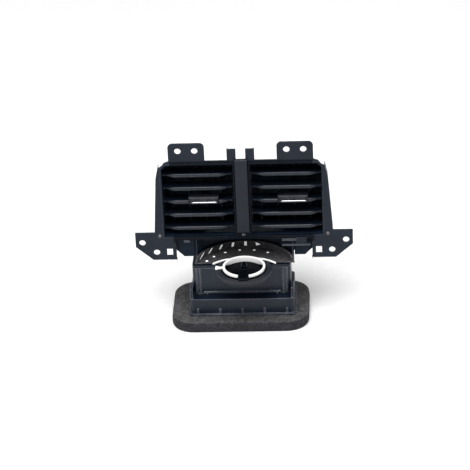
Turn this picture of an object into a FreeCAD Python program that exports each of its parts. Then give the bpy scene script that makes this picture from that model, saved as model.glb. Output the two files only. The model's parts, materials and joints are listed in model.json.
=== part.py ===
import FreeCAD, Part
import Sketcher

import os
import re

# Car rear air vent: face frame with two outlets on a housing, fed from a duct below.
# Axes: X to the right, Y to the back, Z up. The vent stands on its foam seal at Z = 0.

SIZES = {
    # foam seal
    "foam_width": 121.0,
    "foam_depth": 76.5,
    "foam_height": 10.0,
    "foam_corner": 20.0,
    "foam_shift": 5.1,
    "foam_setback": 1.5,
    # duct
    "duct_shift": 3.0,
    "duct_width": 86.0,
    "duct_depth": 47.5,
    "duct_wall": 2.5,
    "duct_height": 42.0,
    "duct_corner": 3.0,
    "collar_height": 16.0,
    "collar_side": 2.5,
    "collar_front": 1.0,
    "groove_height": 1.2,
    "groove_depth": 0.6,
    "flange_reach": 1.6,
    "flange_thick": 1.5,
    "foot_rib_inset": 6.3,
    "foot_rib_height": 5.0,
    "rib_width": 1.2,
    "rib_proud": 1.0,
    "panel_setback": 9.0,
    "panel_inset": 6.5,
    "panel_rib_gap": 3.0,
    "corner_post_height": 10.0,
    "rear_rib_inset": 15.0,
    # deck and skirt under the housing
    "dial_front": 10.5,
    "deck_thick": 2.0,
    "deck_nose": 22.0,
    "journal_radius": 20.0,
    "journal_height": 1.5,
    "skirt_gap": 1.4,
    "skirt_wall": 2.0,
    "skirt_height": 24.0,
    "skirt_room": 4.0,
    "port_inset": 6.6,
    "bracket_wall": 2.0,
    "bracket_spread": 10.0,
    "bracket_height": 6.0,
    # how far a cutting shape runs past what it cuts, and a joined one runs into it
    "over": 1.0,
    # dial
    "dial_gap": 0.7,
    "dial_hub": 24.0,
    "dial_hub_height": 3.0,
    "dial_web": 1.3,
    "dial_radius": 46.6,
    "dial_rim_height": 7.8,
    "dial_rim_lean": 2.2,
    "dial_rim_wall": 1.8,
    "dial_sweep": 180.0,
    "chord_ratio": 0.322,
    "run_clearance": 0.08,
    "dot_radius": 0.85,
    "dot_inset": 8.2,
    "dot_angle": 18.5,
    "mark_thick": 0.15,
    "tick_angle": 14.2,
    "tick_width": 0.9,
    "tick_growth": 0.22,
    "tick_margin": 1.6,
    # spring ring and retaining post
    "ring_radius": 19.5,
    "ring_wall": 2.4,
    "ring_height": 5.2,
    "ring_gap": 9.5,
    "arm_centre": 22.0,
    "arm_radius": 40.8,
    "arm_width": 1.3,
    "arm_thick": 1.5,
    "arm_reach": 27.6,
    "lift": 0.5,
    "lug_length": 5.6,
    "lug_width": 5.0,
    "post_width": 5.6,
    "post_depth": 9.0,
    "post_height": 4.4,
    "tongue_clearance": 0.6,
    "tongue_lip": 2.4,
    # face frame
    "face_setback": 20.0,
    "plate_thick": 2.0,
    "frame_bottom": 76.0,
    "frame_top": 152.5,
    "frame_foot": 77.8,
    "frame_shoulder": 74.2,
    "shoulder_height": 136.0,
    "step_half": 72.0,
    "step_height": 146.0,
    "crown_half": 66.5,
    "crown_drop": 1.5,
    "notch_half": 68.7,
    "notch_height": 147.8,
    "rim_depth": 9.0,
    "rim_wall": 1.6,
    "bezel_proud": 1.0,
    "bezel_width": 1.5,
    "fit_gap": 0.4,
    "top_ear_inner": 31.0,
    "top_ear_outer": 62.3,
    "top_ear_height": 16.7,
    "top_ear_round": 4.0,
    "top_hole_pitch": 14.4,
    "top_hole_rise": 9.5,
    "ear_hole_radius": 2.8,
    "tab_inner": 4.1,
    "tab_width": 7.8,
    "tab_height": 10.7,
    "low_ear_inner": 59.4,
    "low_ear_drop": 19.0,
    "low_ear_reach": 95.0,
    "low_ear_rise": 7.7,
    "low_ear_bevel_ratio": 0.579,
    "low_ear_bevel_z": 13.0,
    "low_hole_one_ratio": 0.831,
    "low_hole_one_z": 2.1,
    "low_hole_two_ratio": 0.486,
    "low_hole_two_z": 11.7,
    "slot_hole_ratio": 0.163,
    "slot_hole_drop": 11.5,
    "slot_hole_width": 5.2,
    "slot_hole_height": 6.6,
    # outlets
    "outlet_inner": 7.3,
    "outlet_outer": 69.0,
    "outlet_bottom": 80.0,
    "outlet_top": 149.0,
    "outlet_bevel": 3.5,
    # housing
    "back_room": 4.0,
    "housing_wall": 2.0,
    "roof_slope": 27.6,
    "roof_drop": 1.0,
    "roof_bevel": 6.0,
    "spine_half": 6.0,
    "spine_wall": 1.6,
    "spine_depth": 20.0,
    "port_front": 7.0,
    "chin_gap": 0.5,
    "chin_width": 17.2,
    "chin_drop": 20.0,
    "chin_depth": 10.0,
    "chin_front": 4.0,
    "chin_return": 3.5,
    "chin_bevel": 8.0,
    "back_rib_inset": 15.0,
    # slats
    "slat_count": 5.0,
    "slat_pitch": 12.8,
    "slat_middle": 112.0,
    "slat_pivot": 10.0,
    "slat_front": 8.5,
    "slat_rear": 7.0,
    "slat_thick": 2.0,
    "slat_corner": 6.0,
    "nose_length": 47.5,
    "nose_height": 4.2,
    "nose_depth": 4.5,
    "slat_pin": 1.2,
    "pin_clearance": 0.1,
    "pin_seat": 1.4,
    "slat_link_room": 2.7,
    "slat_crank": 4.5,
    "link_thick": 1.4,
    "link_width": 3.2,
    "link_end": 2.0,
    "crank_pin": 0.9,
    # knob
    "knob_offset": 5.1,
    "knob_width": 26.5,
    "knob_above": 6.0,
    "knob_below": 1.0,
    "knob_front": 2.2,
    "knob_depth": 8.5,
    "knob_slot": 0.4,
    "knob_round": 1.2,
    "trim_width": 25.0,
    "trim_height": 3.2,
    "trim_thick": 0.8,
    "arm_strap": 7.0,
    "strap_thick": 1.4,
    "fork_gap": 4.8,
    "tine_wall": 1.2,
    "tine_room": 2.0,
    "fork_web": 1.6,
    # vanes
    "vane_count": 4.0,
    "vane_pitch": 14.2,
    "row_gap": 8.5,
    "vane_front": 7.8,
    "vane_rear": 7.7,
    "vane_thick": 1.6,
    "vane_top": 122.5,
    "vane_pin": 1.5,
    "vane_pin_length": 4.0,
    "boss_radius": 3.2,
    "finger_room": 3.0,
    "finger_half": 8.0,
    "finger_thick": 1.2,
    "vane_crank": 6.0,
    "vane_notch": 5.0,
    "vane_notch_start": 2.0,
    "vane_link_gap": 1.0,
    # centre bar, screws and clips
    "bar_half": 5.5,
    "bar_proud": 4.0,
    "bar_bottom": 84.0,
    "bar_rise": 1.9,
    "bar_chamfer": 0.8,
    "screw_radius": 1.6,
    "screw_head": 0.8,
    "screw_side": 73.2,
    "screw_rise": 4.5,
    "clip_width": 5.0,
    "clip_height": 2.4,
    "clip_thick": 1.2,
    "clip_x": 50.0,
    "latch_width": 13.0,
    "latch_x": 39.5,
}

# Places worked out from the sizes above
PLACES = {
    "foam_top": "foam_height",
    "collar_top": "foam_top + collar_height",
    "groove_top": "collar_top + groove_height",
    "duct_top": "foam_top + duct_height",
    "deck_top": "duct_top + deck_thick",
    "middle_y": "(dial_hub - dial_front) / 2",
    "dial_y": "middle_y + dial_front - foam_depth / 2",
    "duct_front_y": "middle_y - duct_depth / 2",
    "duct_back_y": "middle_y + duct_depth / 2",
    "face_y": "dial_y + face_setback",
    "journal_top": "deck_top + journal_height",
    "dial_bottom": "deck_top + dial_gap",
    "web_top": "dial_bottom + dial_web",
    "hub_top": "dial_bottom + dial_hub_height",
    "rim_top": "dial_bottom + dial_rim_height",
    "skirt_radius": "dial_radius + skirt_gap",
    "skirt_start": "asin((face_setback + skirt_room) / skirt_radius)",
    "skirt_top": "deck_top + skirt_height",
    "port_radius": "dial_radius - port_inset",
    "dial_chord": "chord_ratio * dial_radius",
    "dot_circle": "dial_radius - dot_inset",
    "chin_inner": "(skirt_radius + skirt_wall) * cos(skirt_start) + chin_gap",
    "floor_bottom": "skirt_top",
    "floor_top": "floor_bottom + housing_wall",
    "vane_pivot": "slat_pivot + slat_rear + row_gap + vane_front",
    "housing_depth": "vane_pivot + vane_rear + back_room",
    "finger_tip": "vane_front + row_gap - finger_room",
    "tine_length": "row_gap - knob_slot - fork_web - tine_room",
    "back_y": "face_y + housing_depth",
    "shell_y": "face_y + plate_thick",
    "shell_half": "outlet_outer + housing_wall",
    "roof_front": "frame_top - roof_drop",
    "roof_back": "roof_front - (housing_depth - plate_thick) * tan(roof_slope)",
    "roof_wall": "housing_wall / cos(roof_slope)",
    "foot_rib_pitch": "(duct_width + 2 * collar_side - 2 * foot_rib_inset) / 4",
    "panel_half": "duct_width / 2 - panel_inset",
    "rear_rib_pitch": "duct_width / 2 - rear_rib_inset",
    "back_rib_pitch": "(shell_half - back_rib_inset) / 2",
    "top_hole_half": "(top_ear_inner + top_ear_outer) / 2",
    "low_ear_width": "low_ear_reach - low_ear_inner",
    "slot_hole_x": "low_ear_inner + slot_hole_ratio * low_ear_width",
    "low_ear_top": "frame_bottom + low_ear_rise",
    "rim_start": "chin_inner + chin_width + fit_gap",
    "low_ear_bottom": "frame_bottom - low_ear_drop",
    "outlet_centre": "(slat_inner + slat_outer) / 2",
    "slat_inner": "spine_half + slat_link_room",
    "slat_outer": "outlet_outer - fit_gap",
    "slat_y": "face_y + slat_pivot",
    "vane_y": "face_y + vane_pivot",
    "vane_bottom": "floor_top + fit_gap",
}

OUTLETS = {"left": -1, "right": 1}
SPREADSHEET_NAME = "Sizes"

doc = FreeCAD.newDocument("rear_air_vent")
sheet = doc.addObject("Spreadsheet::Sheet", SPREADSHEET_NAME)
for row, (alias, value) in enumerate(SIZES.items(), start=1):
    sheet.set(f"A{row}", alias)
    sheet.set(f"B{row}", str(value))
    sheet.setAlias(f"B{row}", alias)
doc.recompute()

sub_parts = {}


def expand(text):
    """Return the expression with every size and place name written out as sheet cells."""

    def name_of(match):
        word = match.group(0)
        if word in PLACES:
            return "(" + expand(PLACES[word]) + ")"
        return f"{SPREADSHEET_NAME}.{word}" if word in SIZES else word

    return re.sub(r"[a-z_]+", name_of, str(text))


def number(text):
    """Return the value of an expression of sizes and places."""
    found = sheet.evalExpression(expand(text))
    return float(getattr(found, "Value", found))


def bind(item, **expressions):
    """Tie properties of an object to expressions of sizes and places."""
    for prop, text in expressions.items():
        item.setExpression(prop, expand(text))
    return item


def place(item, x="0", y="0", z="0", turn=None):
    """Tie the place of an object to expressions; turn is an axis and an angle."""
    if turn:
        item.Placement = FreeCAD.Placement(
            FreeCAD.Vector(), FreeCAD.Rotation(FreeCAD.Vector(*turn[0]), turn[1])
        )
    for axis, text in (("x", x), ("y", y), ("z", z)):
        item.setExpression(f"Placement.Base.{axis}", expand(text))
    return item


def box(x, y, z, length, width, height):
    """Box from a corner and three lengths."""
    item = doc.addObject("Part::Box", "Box")
    bind(item, Length=length, Width=width, Height=height)
    return place(item, x, y, z)


def centred_box(x, y, z, length, width, height):
    """Box centred in X on x, starting at y and z."""
    return box(f"{x} - ({length}) / 2", y, z, length, width, height)


def cylinder(x, y, z, radius, height, angle=360, turn=None):
    """Cylinder along Z, or turned by an axis and an angle."""
    item = doc.addObject("Part::Cylinder", "Cylinder")
    bind(item, Radius=radius, Height=height, Angle=angle)
    return place(item, x, y, z, turn)


def cone(x, y, z, lower, upper, height, angle=360):
    """Upright cone with its two radii."""
    item = doc.addObject("Part::Cone", "Cone")
    bind(item, Radius1=lower, Radius2=upper, Height=height, Angle=angle)
    return place(item, x, y, z)


ALONG_X = ((0, 1, 0), 90)
ALONG_Y = ((1, 0, 0), -90)


def fuse(*items):
    """Join items into one solid."""
    joined = doc.addObject("Part::MultiFuse", "Fusion")
    joined.Shapes = list(items)
    joined.Refine = True
    return joined


def cut(base, *tools):
    """Take tools away from the base."""
    result = doc.addObject("Part::Cut", "Cut")
    result.Base = base
    result.Tool = tools[0] if len(tools) == 1 else fuse(*tools)
    result.Refine = True
    return result


def common(first, second):
    """Keep what two items share."""
    result = doc.addObject("Part::Common", "Common")
    result.Base = first
    result.Tool = second
    return result


def group(*items):
    """Hold several separate solids of one sub-part together."""
    held = doc.addObject("Part::Compound", "Group")
    held.Links = list(items)
    return held


def edges_where(shape, test):
    """Return the numbers of a shape's edges that pass a test."""
    return [i for i, edge in enumerate(shape.Edges, start=1) if test(edge)]


def soften(base, kind, size, test):
    """Round (Fillet) or bevel (Chamfer) the edges of a solid that pass a test."""
    doc.recompute()
    result = doc.addObject(f"Part::{kind}", kind)
    result.Base = base
    amount = number(size)
    result.Edges = [(i, amount, amount) for i in edges_where(base.Shape, test)]
    return result


def along(axis):
    """Test for straight edges along one axis."""

    def test(edge):
        step = edge.Vertexes[-1].Point - edge.Vertexes[0].Point
        return step.Length > 0 and abs(abs(getattr(step, axis)) - step.Length) < 1e-6

    return test


def plane_of(body, role):
    """Return an origin plane of a body."""
    return next(f for f in body.Origin.OriginFeatures if f.Role == role)


def sketch_on(body, name, role, loops):
    """Sketch of closed loops, each a list of corners or a circle (x, y, radius)."""
    sketch = body.newObject("Sketcher::SketchObject", name)
    sketch.AttachmentSupport = [(plane_of(body, role), "")]
    sketch.MapMode = "FlatFace"

    def pin_down(geometry, position, x, y):
        for kind, axis, text in (("DistanceX", -2, x), ("DistanceY", -1, y)):
            value = number(text)
            if abs(value) < 1e-9:
                sketch.addConstraint(
                    Sketcher.Constraint("PointOnObject", geometry, position, axis)
                )
                continue
            made = sketch.addConstraint(
                Sketcher.Constraint(kind, -1, 1, geometry, position, value)
            )
            sketch.setExpression(f"Constraints[{made}]", expand(text))

    for loop in loops:
        if isinstance(loop, tuple):
            x, y, radius = loop
            circle = Part.Circle(
                FreeCAD.Vector(number(x), number(y), 0),
                FreeCAD.Vector(0, 0, 1),
                number(radius),
            )
            made = sketch.addGeometry(circle, False)
            pin_down(made, 3, x, y)
            size = sketch.addConstraint(Sketcher.Constraint("Radius", made, number(radius)))
            sketch.setExpression(f"Constraints[{size}]", expand(radius))
            continue
        corners = [FreeCAD.Vector(number(x), number(y), 0) for x, y in loop]
        first = len(sketch.Geometry)
        count = len(loop)
        for i in range(count):
            line = Part.LineSegment(corners[i], corners[(i + 1) % count])
            sketch.addGeometry(line, False)
        for i in range(count):
            following = first + (i + 1) % count
            sketch.addConstraint(
                Sketcher.Constraint("Coincident", first + i, 2, following, 1)
            )
        for i, (x, y) in enumerate(loop):
            pin_down(first + i, 1, x, y)
    return sketch


def pad(body, sketch, length, backwards=False, midplane=False):
    """Pad a sketch; backwards pads against the sketch's own direction."""
    feature = body.newObject("PartDesign::Pad", "Pad")
    feature.Profile = sketch
    feature.Reversed = backwards
    feature.Midplane = midplane
    bind(feature, Length=length)
    body.Tip = feature
    return feature


def pocket(body, sketch, backwards=False):
    """Cut a sketch right through and check that it took material away."""
    doc.recompute()
    before = body.Shape.Volume
    feature = body.newObject("PartDesign::Pocket", "Pocket")
    feature.Profile = sketch
    feature.Type = "ThroughAll"
    feature.Midplane = True
    feature.Reversed = backwards
    body.Tip = feature
    doc.recompute()
    if body.Shape.Volume >= before - 1e-6:
        raise ValueError(f"{body.Label}: pocket {sketch.Label} cuts nothing")
    return feature


def mirrored(corners):
    """Full outline from its right half, given from bottom to top."""
    left = [(f"-({x})", z) for x, z in reversed(corners)]
    return corners + left


def rectangle(left, bottom, right, top):
    """Corners of a rectangle."""
    return [(left, bottom), (right, bottom), (right, top), (left, top)]


def outlet_loop(side, inner, low, outer, high):
    """Rectangle of an outlet with its top outer corner cut off."""
    bevel = f"{side} * outlet_bevel"
    return [
        (inner, low),
        (outer, low),
        (outer, f"{high} - outlet_bevel"),
        (f"{outer} - {bevel}", high),
        (inner, high),
    ]


def sub_part(name, item):
    """Name an object as a sub-part of the vent."""
    item.Label = name
    sub_parts[name] = item
    return item


# Foam seal: a closed ring under the duct's flange
def rounded_block(x, y, z, length, width, height, corner):
    """Block centred on x and y with upright round corners."""
    body = box(f"{x} - ({length}) / 2", f"{y} - ({width}) / 2", z, length, width, height)
    return soften(body, "Fillet", corner, along("z"))


def duct_block(z, height, side, front, setback="0"):
    """Block round the duct's axis, larger than the duct by side and front, its face set back."""
    return rounded_block(
        "-duct_shift",
        f"middle_y + ({setback}) / 2",
        z,
        f"duct_width + 2 * ({side})",
        f"duct_depth + 2 * ({front}) - ({setback})",
        height,
        "duct_corner",
    )


def foam_seal():
    outer = rounded_block(
        "-foam_shift",
        "middle_y",
        "0",
        "foam_width",
        "foam_depth",
        "foam_height",
        "foam_corner",
    )
    inset = "foam_setback - duct_wall"
    hole = duct_block("-over", "foam_height + 2 * over", inset, inset)
    sub_part("foam_seal", cut(outer, hole))


# Duct: two shells that meet on the foam's middle plane, its panel set back behind the collar's ledge
def duct_shell():
    """Return the whole duct before it is parted into its two shells."""
    body = duct_block("groove_top", "duct_top - groove_top", "0", "0", "panel_setback")
    inset = "-groove_depth"
    groove = duct_block("collar_top", "groove_height", inset, inset, "panel_setback")
    collar = duct_block("foam_top", "collar_height", "collar_side", "collar_front")
    flange = duct_block(
        "foam_top",
        "flange_thick",
        "collar_side + flange_reach",
        "collar_front + flange_reach",
    )
    wall = "-duct_wall"
    foot_bore = duct_block("foam_top - over", "collar_height - duct_wall + over", wall, wall)
    bore = duct_block("foam_top - over", "duct_height + 2 * over", wall, wall, "panel_setback")
    return cut(fuse(body, groove, collar, flange), foot_bore, bore)


def half_space(front):
    """Large block on one side of the plane where the shells meet."""
    start = "middle_y - foam_depth" if front else "middle_y"
    return box("-foam_width", start, "0", "2 * foam_width", "foam_depth", "2 * duct_height")


def duct_front():
    front_y = "duct_front_y + panel_setback"
    collar_y = "duct_front_y - collar_front"
    pieces = [common(duct_shell(), half_space(True))]
    for step in range(-2, 3):
        pieces.append(
            centred_box(
                f"{step} * foot_rib_pitch - duct_shift",
                f"{collar_y} - rib_proud",
                "foam_top + flange_thick",
                "rib_width",
                "rib_proud + flange_reach",
                "foot_rib_height",
            )
        )
    for side in (-1, 1):
        for reach in ("panel_half", "panel_half + panel_rib_gap"):
            pieces.append(
                centred_box(
                    f"{side} * ({reach}) - duct_shift",
                    f"{front_y} - rib_proud",
                    "groove_top",
                    "rib_width",
                    "rib_proud + duct_wall / 2",
                    "duct_top - groove_top",
                )
            )
        pieces.append(
            centred_box(
                f"{side} * (duct_width / 2 + collar_side / 2) - duct_shift",
                "duct_front_y",
                "collar_top",
                "collar_side",
                "panel_setback + duct_corner + rib_width",
                "corner_post_height",
            )
        )
    lip_half = "panel_half - panel_rib_gap"
    pieces.append(
        box(
            f"-({lip_half}) - duct_shift",
            f"{front_y} - rib_proud",
            "groove_top",
            f"2 * ({lip_half})",
            "rib_proud + duct_wall / 2",
            "rib_width",
        )
    )
    sub_part("duct_front", fuse(*pieces))


def duct_rear():
    shell = common(duct_shell(), half_space(False))
    ribs = []
    for step in (-1, 0, 1):
        ribs.append(
            centred_box(
                f"{step} * rear_rib_pitch - duct_shift",
                "duct_back_y - duct_wall / 2",
                "groove_top",
                "rib_width",
                "rib_proud + duct_wall / 2",
                "duct_top - groove_top",
            )
        )
    sub_part("duct_rear", fuse(shell, *ribs))


# Deck: the duct's lid with the dial's journal, the half-round port and the skirt
def dial_deck():
    lid = duct_block("duct_top", "deck_thick", "0", "0", "panel_setback")
    nose = cylinder("0", "dial_y", "duct_top", "deck_nose", "deck_thick")
    spread = "180 deg - 2 * skirt_start"
    shelf = cylinder(
        "0", "dial_y", "duct_top", "skirt_radius + skirt_wall", "deck_thick", spread
    )
    skirt = cylinder(
        "0",
        "dial_y",
        "duct_top",
        "skirt_radius + skirt_wall",
        "deck_thick + skirt_height",
        spread,
    )
    room = cylinder(
        "0", "dial_y", "duct_top - over", "skirt_radius", "skirt_height + deck_thick + 2 * over"
    )
    for sector in (shelf, skirt):
        sector.Placement = FreeCAD.Placement(
            FreeCAD.Vector(),
            FreeCAD.Rotation(FreeCAD.Vector(0, 0, 1), number("skirt_start")),
        )
        sector.setExpression("Placement.Rotation.Angle", expand("skirt_start"))
        place(sector, "0", "dial_y", "duct_top")
    journal = cylinder("0", "dial_y", "duct_top", "journal_radius", "deck_thick + journal_height")
    brackets = [
        box(
            f"{side} * bracket_spread - bracket_wall / 2",
            "dial_y",
            "duct_top - bracket_height",
            "bracket_wall",
            "duct_front_y + panel_setback - dial_y",
            "bracket_height",
        )
        for side in (-1, 1)
    ]
    solid = fuse(lid, nose, shelf, cut(skirt, room), journal, *brackets)
    port = cylinder("0", "dial_y", "duct_top - over", "port_radius", "deck_thick + 2 * over")
    core = cylinder("0", "dial_y", "duct_top - 2 * over", "deck_nose", "deck_thick + 4 * over")
    wall = "-duct_wall"
    inside = duct_block("duct_top - over", "deck_thick + 2 * over", wall, wall, "panel_setback")
    sub_part("dial_deck", cut(solid, cut(common(port, inside), core)))


# Dial: hub ring with a segment of web and a rim that leans inward, and its printed scale
def rim_cone(inset, extra="0"):
    """Solid half cone of the rim's slope, inset from its outer face."""
    lean = "dial_rim_lean"
    return cone(
        "0",
        "dial_y",
        "dial_bottom",
        f"dial_radius - ({inset})",
        f"dial_radius - {lean} - ({inset})",
        "dial_rim_height",
        f"dial_sweep + {extra}",
    )


def dial():
    rim = cut(rim_cone("0"), rim_cone("dial_rim_wall"))
    web = common(
        cylinder("0", "dial_y", "dial_bottom", "dial_radius", "dial_web", "dial_sweep"),
        rim_cone("0"),
    )
    behind = centred_box(
        "0",
        "dial_y + dial_chord",
        "dial_bottom - over",
        "2 * dial_radius + 2 * over",
        "dial_radius",
        "dial_rim_height + 2 * over",
    )
    segment = common(fuse(rim, web), behind)
    hub = cylinder("0", "dial_y", "dial_bottom", "dial_hub", "dial_hub_height")
    bore = cylinder(
        "0",
        "dial_y",
        "dial_bottom - over",
        "journal_radius + run_clearance",
        "dial_hub_height + 2 * over",
    )
    sub_part("dial", cut(fuse(segment, hub), bore))


def dial_scale():
    dots = []
    for step in range(8):
        angle = f"(90 + (3.5 - {step}) * dot_angle)"
        dots.append(
            cylinder(
                f"dot_circle * cos({angle})",
                f"dial_y + dot_circle * sin({angle})",
                "web_top",
                "dot_radius",
                "mark_thick",
            )
        )
    print_shell = cut(
        rim_cone("dial_rim_wall"), rim_cone("dial_rim_wall + mark_thick")
    )
    ticks = []
    for step in range(-4, 2):
        width = f"(tick_width + tick_growth * ({step} + 4))"
        stripe = box(
            "0",
            f"-{width} / 2",
            "web_top + tick_margin / 2",
            "dial_radius",
            width,
            "rim_top - web_top - tick_margin",
        )
        turned = group(stripe)
        turned.Placement = FreeCAD.Placement(
            FreeCAD.Vector(), FreeCAD.Rotation(FreeCAD.Vector(0, 0, 1), 90)
        )
        turned.setExpression(
            "Placement.Rotation.Angle", expand(f"90 - ({step}) * tick_angle")
        )
        place(turned, "0", "dial_y", "0")
        ticks.append(common(turned, print_shell))
    sub_part("dial_scale", group(*dots, *ticks))


# White spring ring round the journal, with two long arms and a lug
def spring_ring():
    band = cut(
        cylinder("0", "dial_y", "journal_top", "ring_radius", "ring_height"),
        cylinder(
            "0", "dial_y", "journal_top - over", "ring_radius - ring_wall", "ring_height + 2 * over"
        ),
    )
    arm_z = "hub_top + lift"
    arc = cut(
        cylinder("0", "dial_y - arm_centre", arm_z, "arm_radius", "arm_thick"),
        cylinder(
            "0",
            "dial_y - arm_centre",
            f"{arm_z} - over",
            "arm_radius - arm_width",
            "arm_thick + 2 * over",
        ),
    )
    reach = centred_box("0", "dial_y", arm_z, "2 * arm_reach", "skirt_radius", "arm_thick")
    arms = common(arc, reach)
    lug = box(
        "-ring_radius - lug_length + ring_wall / 2",
        "dial_y - lug_width / 2",
        arm_z,
        "lug_length",
        "lug_width",
        "arm_thick",
    )
    gap = centred_box(
        "0",
        "dial_y - ring_radius - over",
        "journal_top - over",
        "ring_gap",
        "ring_radius",
        "ring_height + 2 * over",
    )
    sub_part("spring_ring", fuse(cut(band, gap), arms, lug))


def retaining_post():
    stem = centred_box(
        "0",
        "dial_y - post_depth / 2",
        "journal_top",
        "post_width",
        "post_depth",
        "post_height",
    )
    arch = cylinder(
        "0",
        "dial_y - post_depth / 2",
        "journal_top + post_height",
        "post_width / 2",
        "post_depth",
        turn=ALONG_Y,
    )
    tongue_width = "ring_gap - 2 * tongue_clearance"
    tongue = centred_box(
        "0",
        "dial_y - ring_radius",
        "journal_top",
        tongue_width,
        "ring_radius - post_depth / 2 + over",
        "post_height",
    )
    lip = centred_box(
        "0",
        "dial_y - ring_radius - tongue_lip",
        "hub_top + lift",
        tongue_width,
        "tongue_lip + over",
        "journal_top + post_height - hub_top - lift",
    )
    sub_part("retaining_post", fuse(stem, arch, tongue, lip))


# Face frame: one plate with four ears, two snap tabs, bezels and a rim turned back
def face_frame():
    body = doc.addObject("PartDesign::Body", "FaceFrame")
    place(body, "0", "face_y", "0")
    outline = mirrored(
        [
            ("low_ear_inner", "frame_bottom"),
            ("low_ear_inner", "low_ear_bottom"),
            ("low_ear_inner + low_ear_bevel_ratio * low_ear_width", "low_ear_bottom"),
            ("low_ear_reach", "low_ear_bottom + low_ear_bevel_z"),
            ("low_ear_reach", "low_ear_top"),
            ("frame_foot", "low_ear_top"),
            ("frame_shoulder", "shoulder_height"),
            ("step_half", "step_height"),
            ("notch_half", "notch_height"),
            ("crown_half", "frame_top - crown_drop"),
            ("top_ear_outer", "frame_top"),
            ("top_ear_outer", "frame_top + top_ear_height"),
            ("top_ear_inner", "frame_top + top_ear_height"),
            ("top_ear_inner", "frame_top"),
            ("tab_inner + tab_width", "frame_top"),
            ("tab_inner + tab_width", "frame_top + tab_height"),
            ("tab_inner", "frame_top + tab_height"),
            ("tab_inner", "frame_top"),
        ]
    )
    pad(body, sketch_on(body, "Outline", "XZ_Plane", [outline]), "plate_thick", True)
    rims = [
        [
            (f"{side} * rim_start", "frame_bottom"),
            (f"{side} * frame_foot", "frame_bottom"),
            (f"{side} * frame_foot", "low_ear_top"),
            (f"{side} * frame_shoulder", "shoulder_height"),
            (f"{side} * step_half", "step_height"),
            (f"{side} * (shell_half + fit_gap)", "step_height"),
            (f"{side} * (frame_shoulder - rim_wall)", "shoulder_height"),
            (f"{side} * (frame_foot - rim_wall)", "low_ear_top"),
            (f"{side} * (frame_foot - rim_wall)", "frame_bottom + rim_wall"),
            (f"{side} * rim_start", "frame_bottom + rim_wall"),
        ]
        for side in OUTLETS.values()
    ]
    pad(body, sketch_on(body, "Rim", "XZ_Plane", rims), "rim_depth", True)
    bezels = []
    openings = []
    for side in OUTLETS.values():
        inner, outer = f"{side} * outlet_inner", f"{side} * outlet_outer"
        rim_in = f"{side} * (outlet_inner - bezel_width)"
        rim_out = f"{side} * (outlet_outer + bezel_width)"
        low, high = "outlet_bottom - bezel_width", "outlet_top + bezel_width"
        openings.append(outlet_loop(side, inner, "outlet_bottom", outer, "outlet_top"))
        bezels.append(outlet_loop(side, rim_in, low, rim_out, high))
    pad(body, sketch_on(body, "Bezels", "XZ_Plane", bezels), "bezel_proud")
    holes = []
    for side in OUTLETS.values():
        for step in (-0.5, 0.5):
            hole_x = f"{side} * (top_hole_half + {step} * top_hole_pitch)"
            holes.append((hole_x, "frame_top + top_hole_rise", "ear_hole_radius"))
        for number_word in ("one", "two"):
            hole_x = f"{side} * (low_ear_inner + low_hole_{number_word}_ratio * low_ear_width)"
            hole_z = f"frame_bottom - low_hole_{number_word}_z"
            holes.append((hole_x, hole_z, "ear_hole_radius"))
        holes.append(
            rectangle(
                f"{side} * (slot_hole_x - slot_hole_width / 2)",
                "frame_bottom - slot_hole_drop - slot_hole_height / 2",
                f"{side} * (slot_hole_x + slot_hole_width / 2)",
                "frame_bottom - slot_hole_drop + slot_hole_height / 2",
            )
        )
    pocket(body, sketch_on(body, "Openings", "XZ_Plane", openings + holes))
    tips = (number("top_ear_inner"), number("top_ear_outer"))
    tip_height = number("frame_top + top_ear_height")

    def ear_corner(edge):
        spot = edge.CenterOfMass
        at_tip = min(abs(abs(spot.x) - tip) for tip in tips) < 1e-3
        return along("y")(edge) and at_tip and abs(spot.z - tip_height) < 1e-3

    previous = body.Tip
    corners = edges_where(previous.Shape, ear_corner)
    rounding = body.newObject("PartDesign::Fillet", "EarCorners")
    rounding.Base = (previous, [f"Edge{i}" for i in corners])
    bind(rounding, Radius="top_ear_round")
    body.Tip = rounding
    sub_part("face_frame", body)


# Vent housing: a hollow shell with a sloping roof, spine walls, pin holes and chin pods
def side_profile(name, corners, width):
    """Body of a profile in the YZ plane, spread evenly to both sides in X."""
    body = doc.addObject("PartDesign::Body", name)
    pad(body, sketch_on(body, f"{name}Profile", "YZ_Plane", [corners]), width, midplane=True)
    return body


def slanting(edge):
    """Test for the roof's sloping side edges."""
    step = edge.Vertexes[-1].Point - edge.Vertexes[0].Point
    return abs(step.x) < 1e-6 and abs(step.y) > 1e-3 and abs(step.z) > 1e-3


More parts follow.
